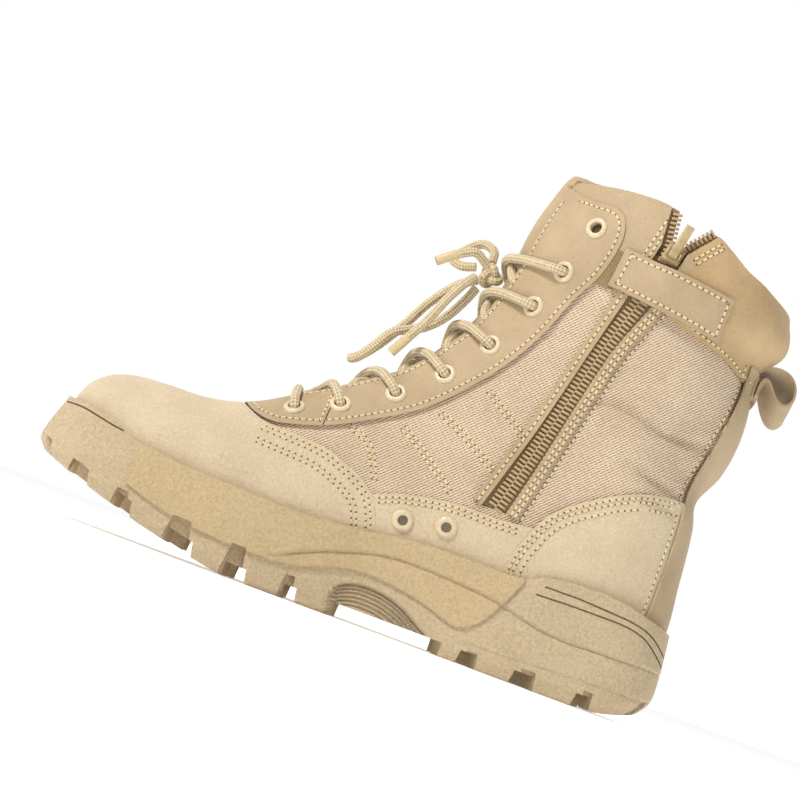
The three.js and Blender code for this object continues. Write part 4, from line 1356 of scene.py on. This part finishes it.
def even_steps(places, normals, step):
    """Places and normals a step apart, with what is left over shared by both ends."""
    long = distances_along(places)
    count = int(long[-1] / step)
    at = np.arange(count + 1) * step + (long[-1] - count * step) / 2
    spots, out = (
        np.stack([np.interp(at, long, values[:, i]) for i in range(3)], 1)
        for values in (places, normals)
    )
    return spots, out / np.linalg.norm(out, axis=1, keepdims=True)


STITCH_SIDES = 6
STITCH_RINGS = ((-0.5, 0.3), (-0.3, 0.85), (0.0, 1.0), (0.3, 0.85), (0.5, 0.3))


class Sewing:
    """Collects stitches and needle holes, and makes one mesh of each."""

    def __init__(self):
        self.thread, self.thread_faces, self.holes, self.hole_faces = [], [], [], []

    def stitch(self, a, b, normal, thick):
        to = b - a
        side = unit(np.cross(normal, to))
        start = len(self.thread)
        for share_along, size in STITCH_RINGS:
            middle = (a + b) / 2 + to * share_along * 0.8 + normal * thick * (0.55 * size - 0.25)
            for i in range(STITCH_SIDES):
                turn = 2 * math.pi * i / STITCH_SIDES
                self.thread.append(
                    middle
                    + side * math.cos(turn) * thick * size
                    + normal * math.sin(turn) * thick * size * 0.8
                )
        for level in range(len(STITCH_RINGS) - 1):
            base = start + level * STITCH_SIDES
            for i in range(STITCH_SIDES):
                j = (i + 1) % STITCH_SIDES
                self.thread_faces.append(
                    [base + i, base + j, base + STITCH_SIDES + j, base + STITCH_SIDES + i]
                )
        self.thread_faces.append([start + i for i in range(STITCH_SIDES)])
        last = start + (len(STITCH_RINGS) - 1) * STITCH_SIDES
        self.thread_faces.append([last + i for i in range(STITCH_SIDES)])

    def hole(self, place, normal, radius):
        side = unit(np.cross(normal, (0.3, 0.2, 1.0)))
        other = np.cross(normal, side)
        start = len(self.holes)
        for size, high in ((1.0, -0.05), (0.8, 0.12)):
            for i in range(6):
                turn = 2 * math.pi * i / 6
                way = side * math.cos(turn) + other * math.sin(turn)
                self.holes.append(place + normal * high + radius * size * way)
        for i in range(6):
            j = (i + 1) % 6
            self.hole_faces.append([start + i, start + j, start + 6 + j, start + 6 + i])
        self.hole_faces.append([start + 6 + i for i in range(6)])
        self.hole_faces.append([start + 5 - i for i in range(6)])

    def row(self, places, normals, thick=0.55, radius=0.62):
        if len(places) > 1:
            leaps = np.flatnonzero(np.linalg.norm(np.diff(places, axis=0), axis=1) > LEAP) + 1
            longest = max(np.split(np.arange(len(places)), leaps), key=len)
            places, normals = places[longest], normals[longest]
        if len(places) < 3:
            return
        spots, out = even_steps(places, normals, STITCH)
        for i in range(len(spots) - 1):
            if np.linalg.norm(spots[i + 1] - spots[i]) < 1.8 * STITCH:
                self.stitch(spots[i], spots[i + 1], out[i], thick)
        for spot, normal in zip(spots, out):
            self.hole(spot, normal, radius)

    def finish(self, name):
        print(name, len(self.holes) // 12, "needle holes")
        return (
            mesh_piece(name + "_thread", self.thread, self.thread_faces),
            mesh_piece(name + "_holes", self.holes, self.hole_faces),
        )


sewing = Sewing()


def side_rows(line, offsets, sides=(-1, 1), tree=outside, **settings):
    dense = curve(line, 1.0)
    for offset in offsets:
        for side in sides:
            sewing.row(*thrown(sideways(dense, offset), side, tree), **settings)


side_rows(VAMP_EDGE[:-2], (-2, -4.2, -8.6, -10.8))
side_rows([*QUARTER_TOP[1:-2], [60, 68.5], [70, 69]], (1.8, 4))
side_rows(COUNTER_TOP[:-1], (1.8, 3.9, 7.2))
side_rows(EYESTAY_REAR, (-2.6,))
DIAGONALS = [
    [[35, 124], [45, 117], [58, 108]], [[18, 106], [30, 100.5], [50, 88.5]],
    [[3, 94], [15, 87], [35, 72]], [[-20, 85.5], [-8, 80], [0, 65]],
]  # fmt: skip
for line in DIAGONALS:
    side_rows(line, (-1.1, 1.1), thick=0.58, radius=0.55)
side_rows(ZIP_FRONT[:-1], (-2.6,), sides=(-1,))
side_rows(ZIP_REAR[:-1], (2.2, 4.2, 7.4), sides=(-1,))
side_rows([[80.5, 187], [86.3, 212], [91, 231]], (-2.2, -4.6))
side_rows([[99.5, 211], [111, 225]], (2.2, 4.6), sides=(-1,))
side_rows(COLLAR_SEAM[1:-1], (-2.2,))
side_rows([[-31.6, 82], [-30.8, 99]], (-1.6,), radius=0.55)
strap_line = np.array(STRAP)
for start, end in ((0, 1), (1, 2), (2, 3)):
    a, b = strap_line[start], strap_line[end]
    to = unit(b - a)
    side_rows([a + to * 2, b - to * 2], (2.2,), sides=(-1,), tree=strap_face)
side_rows([[75, 204.5], [73, 188.5]], (0, 4.5), sides=(-1,), tree=strap_face)

# %% Rows along the throat and the back
for side in (-1, 1):
    places, normals = [], []
    for at in np.linspace(8.3, 23.2, 220):
        cut = ring(at, 1.9)
        arc = side * (float(THROAT("gap", at)) + 2.8)
        place = on_ring(cut, [arc])[0]
        near, normal, _, _ = outside.find_nearest(Vector(metres(place)))
        places.append(np.array(near) / MM - ORIGIN)
        normals.append(np.array(normal))
    sewing.row(np.array(places), np.array(normals))


def back_hit(y, z):
    """Where a line from behind the boot first meets it."""
    start = Vector(metres((250.0, y, z)))
    place, normal, _, _ = outside.ray_cast(start, Vector((-1, 0, 0)))
    return (np.array(place) / MM - ORIGIN, np.array(normal)) if place else None


side_rows(BACK_STAY, (-3.0,))
stitching, needle_holes = sewing.finish("seams")
dress(stitching, thread)
dress(needle_holes, hole_dark)

# %% [markdown]
# ## Tubes with a lengthwise map
# Piping, rolled edges and laces are all round sections carried along a path. The tube is built
# ring by ring, with a frame that turns no more than the path does, and gets a UV map in real
# lengths: millimetres along, turns around. A braid drawn on that map follows every bend.

# %% Tube


def tube(name, path, radius, sides=12, step=1.2, ready=False):
    """A round cord along a path, or along a smooth curve through its points unless it is ready."""
    path = np.asarray(path, float) if ready else curve(path, step)
    along = np.gradient(path, axis=0)
    along /= np.linalg.norm(along, axis=1, keepdims=True)
    side = unit(np.cross(along[0], (0.1, 0.2, 1.0)))
    radii = np.broadcast_to(radius, len(path))
    long = distances_along(path)
    points = []
    for place, to, r in zip(path, along, radii):
        side = unit(side - to * np.dot(side, to))
        other = np.cross(to, side)
        for i in range(sides):
            turn = 2 * math.pi * i / sides
            points.append(place + r * (side * math.cos(turn) + other * math.sin(turn)))
    faces, marks = [], []
    for level in range(len(path) - 1):
        base = level * sides
        for i in range(sides):
            j = (i + 1) % sides
            faces.append([base + i, base + j, base + sides + j, base + sides + i])
            u = (i / sides, (i + 1) / sides)
            marks += [(long[level], u[0]), (long[level], u[1]),
                      (long[level + 1], u[1]), (long[level + 1], u[0])]  # fmt: skip
    points += [path[0], path[-1]]
    first, last = len(points) - 2, len(points) - 1
    base = (len(path) - 1) * sides
    for i in range(sides):
        j = (i + 1) % sides
        faces += [[first, j, i], [last, base + i, base + j]]
        marks += [(0, 0)] * 3 + [(long[-1], 0)] * 3
    mesh = bpy.data.meshes.new(name)
    mesh.from_pydata(metres(points).tolist(), [], faces)
    layer = mesh.uv_layers.new(name="lengthwise")
    for corner, (u, v) in zip(layer.data, marks):
        corner.uv = (u, v)
    piece = bpy.data.objects.new(name, mesh)
    bpy.context.collection.objects.link(piece)
    shell_mesh = bmesh.new()
    shell_mesh.from_mesh(mesh)
    bmesh.ops.recalc_face_normals(shell_mesh, faces=shell_mesh.faces)
    shell_mesh.to_mesh(mesh)
    shell_mesh.free()
    smooth(piece, 60)
    return piece


# %% [markdown]
# ## Rolled collar and piping
# The top edge of the shaft is turned over a foam core, so it is round. Walking round the shaft
# from its middle gives the edge's path: at each direction the height is the collar line's height
# at the place that was met.

# %% Collar roll


def form_tree(lift, relief):
    solid = form("measure", lift, relief)
    tree = surface_tree(solid)
    bpy.data.objects.remove(solid)
    return tree


SHAFT_MIDDLE = 90.0
BELOW_EDGE = 4.0  # the wall is met this far under the collar's edge, clear of the form's end


def collar_path(tree, start, end, count):
    places = []
    for turn in np.linspace(start, end, count):
        x, z = 80.0, 222.0
        for _ in range(12):
            origin = Vector(metres((SHAFT_MIDDLE, 0.0, z - BELOW_EDGE)))
            way = Vector((math.cos(turn), math.sin(turn), 0))
            found = tree.ray_cast(origin, way)[0]
            x, y, _ = np.array(found) / MM - ORIGIN
            z = 0.5 * z + 0.5 * float(line_height(COLLAR_LINE, np.array(x)))
        places.append((x, y, z))
    return np.array(places)


thin_edge = form_tree(-0.6, folds_and_puff)
lateral_front = math.atan2(14.6, 39.5 - SHAFT_MIDDLE)
medial_front = math.atan2(-14.6, 39.5 - SHAFT_MIDDLE) + 2 * math.pi
edge = collar_path(thin_edge, lateral_front, medial_front, 240)
keep = [i for i, p in enumerate(edge) if not (p[1] < 0 and 85.5 < p[0] < 110.5)]
runs = np.split(keep, np.where(np.diff(keep) > 1)[0] + 1)
rolls = []
for run in runs:
    path = edge[run]
    puff = collar_puff(path[:, 0], path[:, 2] - 6)
    radius = 1.95 + 0.3 * np.clip(puff, 0, 3)
    rolls.append(tube("roll", path - np.array([0, 0, 0.6]), radius, 14, ready=True))
collar_roll = join("collar_roll", rolls)
# The roll wears the collar's darker copy of the leather, which carries painted shade.
dress(collar_roll, collar_shaded_leather)

# %% Piping
piping = []
path, _ = thrown(sideways(curve(ZIP_REAR, 2), -1.3), -1)
piping.append(tube("pipe", curve(path[::4], 2), 1.1, 8, ready=True))
for side in (-1, 1):
    path, _ = thrown(BACK_STAY, side)
    piping.append(tube("pipe", curve(path[::4], 2), 0.9, 8, ready=True))
piping = join("piping", piping)
dress(piping, leather)

# %% [markdown]
# ## Tongue and insole
# The tongue is a padded leaf under the throat. It is lofted from the same sections, just inside
# the wall, and swells between its edges. The insole is a thin cupped sheet on the footbed.

# %% Tongue
TONGUE_ROWS = (7.0, 24.6)


def tongue_lift(at, arc):
    spread = min(abs(arc) / 15, 1)
    crown = float(THROAT("bulge", at)) - 2.2
    return crown * (1 - spread**2) - (WALL + 1.3) * spread**2


def soft_tongue(name):
    rings = []
    arcs = np.linspace(-24, 24, 33)
    for at in np.linspace(*TONGUE_ROWS, 110):
        taper = min(1.0, 0.55 + (at - 7) / 6)
        top = []
        low = []
        for arc in arcs:
            rounding = math.sqrt(max(1 - (arc / 24) ** 4, 0.02))
            end = min(1.0, (TONGUE_ROWS[1] - at) / 0.5 + 0.25)
            lift = tongue_lift(at, arc * taper)
            half = 2.2 * rounding * end**0.5
            top.append(on_ring(ring(at, lift - 2.2 + half), [arc * taper])[0])
            low.append(on_ring(ring(at, lift - 2.2 - half), [arc * taper])[0])
        rings.append(np.array(top + low[::-1]))
    return mesh_piece(name, *skin_rings(rings))


tongue = soft_tongue("tongue_pad")
smooth(tongue, 60)
dress(tongue, leather, replaced=["tongue"])

# %% Insole
insole = form("insole_sheet", -WALL - 0.9)
boolean(insole, below_line("low", lambda x: HEIGHTS("footbed", x)), "DIFFERENCE")
boolean(insole, below_line("high", lambda x: HEIGHTS("footbed", x) + 3.5), "INTERSECT")
smooth(insole, 35)
knit = woven("knitted_insole_cloth", "9a835d", "b8a078", 1.2, 0.12)
dress(insole, knit, replaced=["insole"])

# %% [markdown]
# ## Laces
# The lace is a round braid, 4.5 mm thick. Each run comes out of an eyelet, bends over its
# flange, and crosses to dive under the other flap. Above the seventh pair it is knotted, and the
# bow's loops and ends keep their real lengths.

# %% Braid


def braid(name, dark, light, pitch_mm, around):
    """Yarns that wind both ways round a cord, drawn on its lengthwise map."""
    material, tree, shader = new_material(name, light, 0.9, Sheen_Weight=0.3)
    place = add_node(tree, "ShaderNodeUVMap", {"uv_map": "lengthwise"}).outputs[0]
    parts = add_node(tree, "ShaderNodeSeparateXYZ", Vector=place)
    waves = []
    for sign in (1, -1):
        turned = math_node(tree, "MULTIPLY", parts.outputs["Y"], sign * around * 2 * math.pi)
        along = parts.outputs["X"]
        angle = math_node(tree, "MULTIPLY_ADD", along, 2 * math.pi / pitch_mm, turned)
        waves.append(math_node(tree, "SINE", angle))
    crossed = math_node(tree, "MULTIPLY", *waves)
    high = math_node(tree, "MULTIPLY_ADD", crossed, 0.5, 0.5)
    mottled = mixed(tree, high, noise(tree, 2.2, 2), 0.4)
    colour = tone(tree, mottled, (0.25, dark), (0.7, light))
    tree.links.new(colour, shader.inputs["Base Color"])
    bump(tree, shader, high, 0.3)
    return material


# Braided polyester: eight dull yarns each way, two tones twisted together.
lace_braid = braid("braided_polyester", "a28e6a", "d8c9a8", 2.6, 4)
LACE = 2.25  # radius
LACED = 7


def section_of(x, z, side):
    """The section and arc of a place in side view."""
    best = None
    for at in np.arange(7.0, 25.0, 0.1):
        cut = ring(at)
        arcs = np.arange(6, 60, 1.0)
        places = on_ring(cut, side * arcs)
        gaps = np.hypot(places[:, 0] - x, places[:, 2] - z)
        i = int(np.argmin(gaps))
        if best is None or gaps[i] < best[0]:
            best = (gaps[i], at, side * arcs[i])
    return best[1], best[2]


def on_form(at, arc, lift):
    return on_ring(ring(at, lift), [arc])[0]


eyelet_sections = {row: section_of(*EYELETS[row - 1], 1)[0] for row in range(1, LACED + 1)}
eyelet_arcs = {
    (side, row): section_of(*EYELETS[row - 1], side)[1]
    for side in (-1, 1)
    for row in range(1, LACED + 1)
}


def lace_run(row, side):
    """The path of one run: out of its eyelet, over the flap's edge, across the tongue."""
    at, arc = eyelet_sections[row], eyelet_arcs[side, row]
    place, normal = eyelet_places[side, row]
    if row == 1:
        to = on_form(at, arc * 0.6, 4.0) - place
    else:
        below = eyelet_sections[row - 1]
        middle = (at + below) / 2
        gap = float(THROAT("gap", middle))
        edge_at = at + (middle - at) * (1 - (gap + 1.5) / abs(arc))
        to = on_form(edge_at, side * (gap + 1.5), 4.1) - place
    flat = unit(to - normal * np.dot(to, normal))
    start = [
        place - normal * 3.4 - flat * 0.9, place - normal * 1.2 - flat * 0.5,
        place + normal * 0.9 + flat * 0.3, place + normal * 2.5 + flat * 2.6,
        place + normal * 2.7 + flat * 5.2,
    ]  # fmt: skip
    if row == 1:
        return start, [on_form(at, arc * share, 4.3) for share in (0.35, 0.0)]
    rest = tongue_lift(middle, 0) + LACE
    crossing = rest + (-1.8 if side > 0 else 2.4)
    end = middle + (below - middle) * 0.55
    under = max(tongue_lift(end, gap - 3) + LACE, 0.6)
    return start, [
        on_form(edge_at, side * (gap + 1.0), 3.7),
        on_form(middle, 0, crossing),
        on_form(end, -side * (gap - 3), under),
        on_form(end + (below - end) * 0.4, -side * (gap + 3), -1.6),
    ]


for row in range(1, LACED + 1):
    runs = []
    if row == 1:
        left, right = lace_run(1, -1), lace_run(1, 1)
        path = [*left[0], *left[1], *right[1][:1], *right[0][::-1]]
        runs.append(tube("run", path, LACE, 16, 0.8))
    else:
        for side in (-1, 1):
            start, across_path = lace_run(row, side)
            runs.append(tube("run", [*start, *across_path], LACE, 16, 0.8))
    dress(join(f"lace_run_{row}", runs), lace_braid, replaced=[f"lace_{row}"])

# %% Knot
KNOT = np.array([18.0, 0.0, 179.0])
turn = np.linspace(0, 2 * np.pi, 90)
knot_path = np.stack(
    [
        np.sin(turn) + 2 * np.sin(2 * turn), 1.5 * -np.sin(3 * turn),
        np.cos(turn) - 2 * np.cos(2 * turn),
    ],
    axis=1,
)  # fmt: skip
tilt = np.array(Matrix.Rotation(math.radians(35), 3, "Y"))
knot_path = KNOT + (knot_path * 1.55) @ tilt.T
knot = tube("lace_knot_turns", knot_path, 2.0, 14, ready=True)
dress(knot, lace_braid, replaced=["lace_knot"])

# %% [markdown]
# The bow's parts are free cords, each a tube along its own path; the two ends get pressed plastic
# tips.

# %% Bow
BOW = {
    "lace_loop_long": [
        [12.5, 3.5, 175.5], [5, 8, 171], [-5, 10.5, 158.5], [-12, 11.5, 145.5], [-20, 11, 132],
        [-27, 8, 122.5], [-31, 1.5, 118.5], [-28, -5, 119.5], [-23, -8, 126], [-17, -8, 135.5],
        [-10, -6.5, 140], [-3, -5.5, 144], [4.5, -5, 152], [10, -4, 162], [13.5, -2.5, 170.5],
    ],
    "lace_loop_short": [
        [16.5, 4, 186], [15.5, 7.5, 192.5], [9, 11.5, 194.5], [2, 12.5, 188.5], [-2, 10, 182.5],
        [3, 6.5, 180], [9.8, 4.2, 181.5],
    ],
    "lace_end_upper": [
        [16.8, -0.5, 181.5], [12.3, -2.5, 184.5], [7, -5, 186.5], [-1, -7, 182], [-9, -8, 175.5],
    ],
    "lace_end_lower": [
        [11, -5, 175], [7, -9.5, 169], [2, -12, 159], [-3, -13, 146.5], [-8, -13, 137],
        [-14, -12, 126],
    ],
}  # fmt: skip
# A clear-coated polyester tip, pressed round the last centimetre.
tip_plastic, _, _ = new_material("pressed_lace_tip", "c9b48a", 0.35, Coat_Weight=0.4)
for name, points in BOW.items():
    path = curve(points, 0.8)
    cord = tube(name + "_cord", path, LACE, 16, ready=True)
    dress(cord, lace_braid, replaced=[name])
    ends = "loop" not in name
    pieces = []
    if ends:
        tip = tube(name + "_tip", path[-15:], LACE + 0.12, 16, ready=True)
        pieces = [dress(tip, tip_plastic)]

# %% [markdown]
# ## Pull loop
# A strip of leather doubled into a loop at the top of the back seam. It stands off to the rear
# and is twisted a little, so its far edge hangs lower.

# %% Pull loop
LOOP_PATH = [
    [155.4, 167], [153.6, 173], [153.4, 177.6], [155.2, 181.2], [158, 183], [163.4, 184],
    [169.2, 182.4], [173, 177.6], [173.3, 171.4], [170.8, 168.4], [167.2, 168.8], [163.9, 171.8],
    [161.2, 175.4], [158.8, 177.4], [157, 176.2], [156.7, 172.6], [158, 168.4],
]  # fmt: skip
LOOP_THICK, LOOP_WIDE = 1.7, 22.0
LOOP_TWIST = (0.1, -0.42)  # how far x and z shift for each mm from the near edge
loop_line = curve(LOOP_PATH, 1.0)
run = distances_along(loop_line)
sewn_first, sewn_last = step_up(10 - run, 6), step_up(6 - (run[-1] - run), 5)
loop_rings = []
for y in np.linspace(-LOOP_WIDE / 2, LOOP_WIDE / 2, 17):
    edge_in = 0.35 * (abs(y) > LOOP_WIDE / 2 - 0.1)
    outline = np.vstack([
        sideways(loop_line, LOOP_THICK / 2 - edge_in),
        sideways(loop_line, -LOOP_THICK / 2 + edge_in)[::-1],
    ])  # fmt: skip
    shift = (y + LOOP_WIDE / 2) * step_up(outline[:, 0] - 158, 8)
    x, z = outline[:, 0] + LOOP_TWIST[0] * shift, outline[:, 1] + LOOP_TWIST[1] * shift
    middle = np.concatenate([loop_line[:, 0], loop_line[::-1, 0]])
    for sewn, lift in ((sewn_first, 0.7), (sewn_last, 0.9 + LOOP_THICK)):
        weight = np.concatenate([sewn, sewn[::-1]])
        for i in np.flatnonzero(weight > 0.01):
            back = back_hit(y, z[i])[0][0] + lift + outline[i, 0] - middle[i]
            x[i] += weight[i] * (back - x[i])
    loop_rings.append(np.stack([x, np.full(len(outline), y), z], 1))


def strip_solid(name, rings):
    """A closed strip: side walls ring by ring, and ends of small quads between its two lines."""
    count, half = len(rings[0]), len(rings[0]) // 2
    faces = []
    for r in range(len(rings) - 1):
        for i in range(count):
            j = (i + 1) % count
            faces.append([r * count + i, r * count + j, (r + 1) * count + j, (r + 1) * count + i])
    for base in (0, (len(rings) - 1) * count):
        for i in range(half - 1):
            faces.append([base + i, base + i + 1, base + count - 2 - i, base + count - 1 - i])
    return mesh_piece(name, np.concatenate(rings), faces)


loop = strip_solid("pull_loop_strip", loop_rings)
smooth(loop, 50)
dress(loop, leather, replaced=["pull_loop"])

# %% [markdown]
# ## Slider and pull
# Cast zinc, painted. Their meshes come from the frame: copied, merged, and their edges rounded.

# %% Slider and pull
cast_zinc = grained(
    "painted_cast_zinc", "a8936c", "c3ae85", 0.42, 1.5, 0.03, Metallic=0.15
)
PULL_UP = np.array([0.204, -0.054, 0.977])  # from the pull's hinge to its free end
PULL_OUT = np.array([-0.108, -0.994, -0.033])


def pull_slot(piece):
    """A cutter for the oblong recess in the face of the pull, nearer its hinge."""
    places = np.array([v.co for v in piece.data.vertices]) / MM - ORIGIN
    side = np.cross(PULL_UP, PULL_OUT)
    along, wide, out = places @ PULL_UP, places @ side, places @ PULL_OUT
    low = along.min() + 0.24 * np.ptp(along)
    middle = (wide.min() + wide.max()) / 2
    points = [
        PULL_UP * (low + up * 0.4 * np.ptp(along))
        + side * (middle + across_it * 0.24 * np.ptp(wide))
        + PULL_OUT * (out.max() + deep)
        for deep in (-0.7, 2) for up, across_it in ((0, -1), (0, 1), (1, 1), (1, -1))
    ]  # fmt: skip
    faces = [[3, 2, 1, 0], [4, 5, 6, 7], *wall_faces(2, 4)]
    return mesh_piece("pull_slot", points, faces)


for node, body in (("zip_slider", "boot"), ("zip_pull", "zip_pull")):
    piece = copy_of(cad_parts[node], node + "_cast")
    select_only(piece)
    bpy.ops.object.mode_set(mode="EDIT")
    bpy.ops.mesh.select_all(action="SELECT")
    bpy.ops.mesh.remove_doubles(threshold=1e-5)
    bpy.ops.mesh.tris_convert_to_quads()
    bpy.ops.object.mode_set(mode="OBJECT")
    if node == "zip_pull":
        boolean(piece, pull_slot(piece), "DIFFERENCE")
    apply_modifier(piece, "BEVEL", width=0.25 * MM, segments=2, limit_method="ANGLE")
    smooth(piece, 40)
    dress(piece, cast_zinc, body, [node])
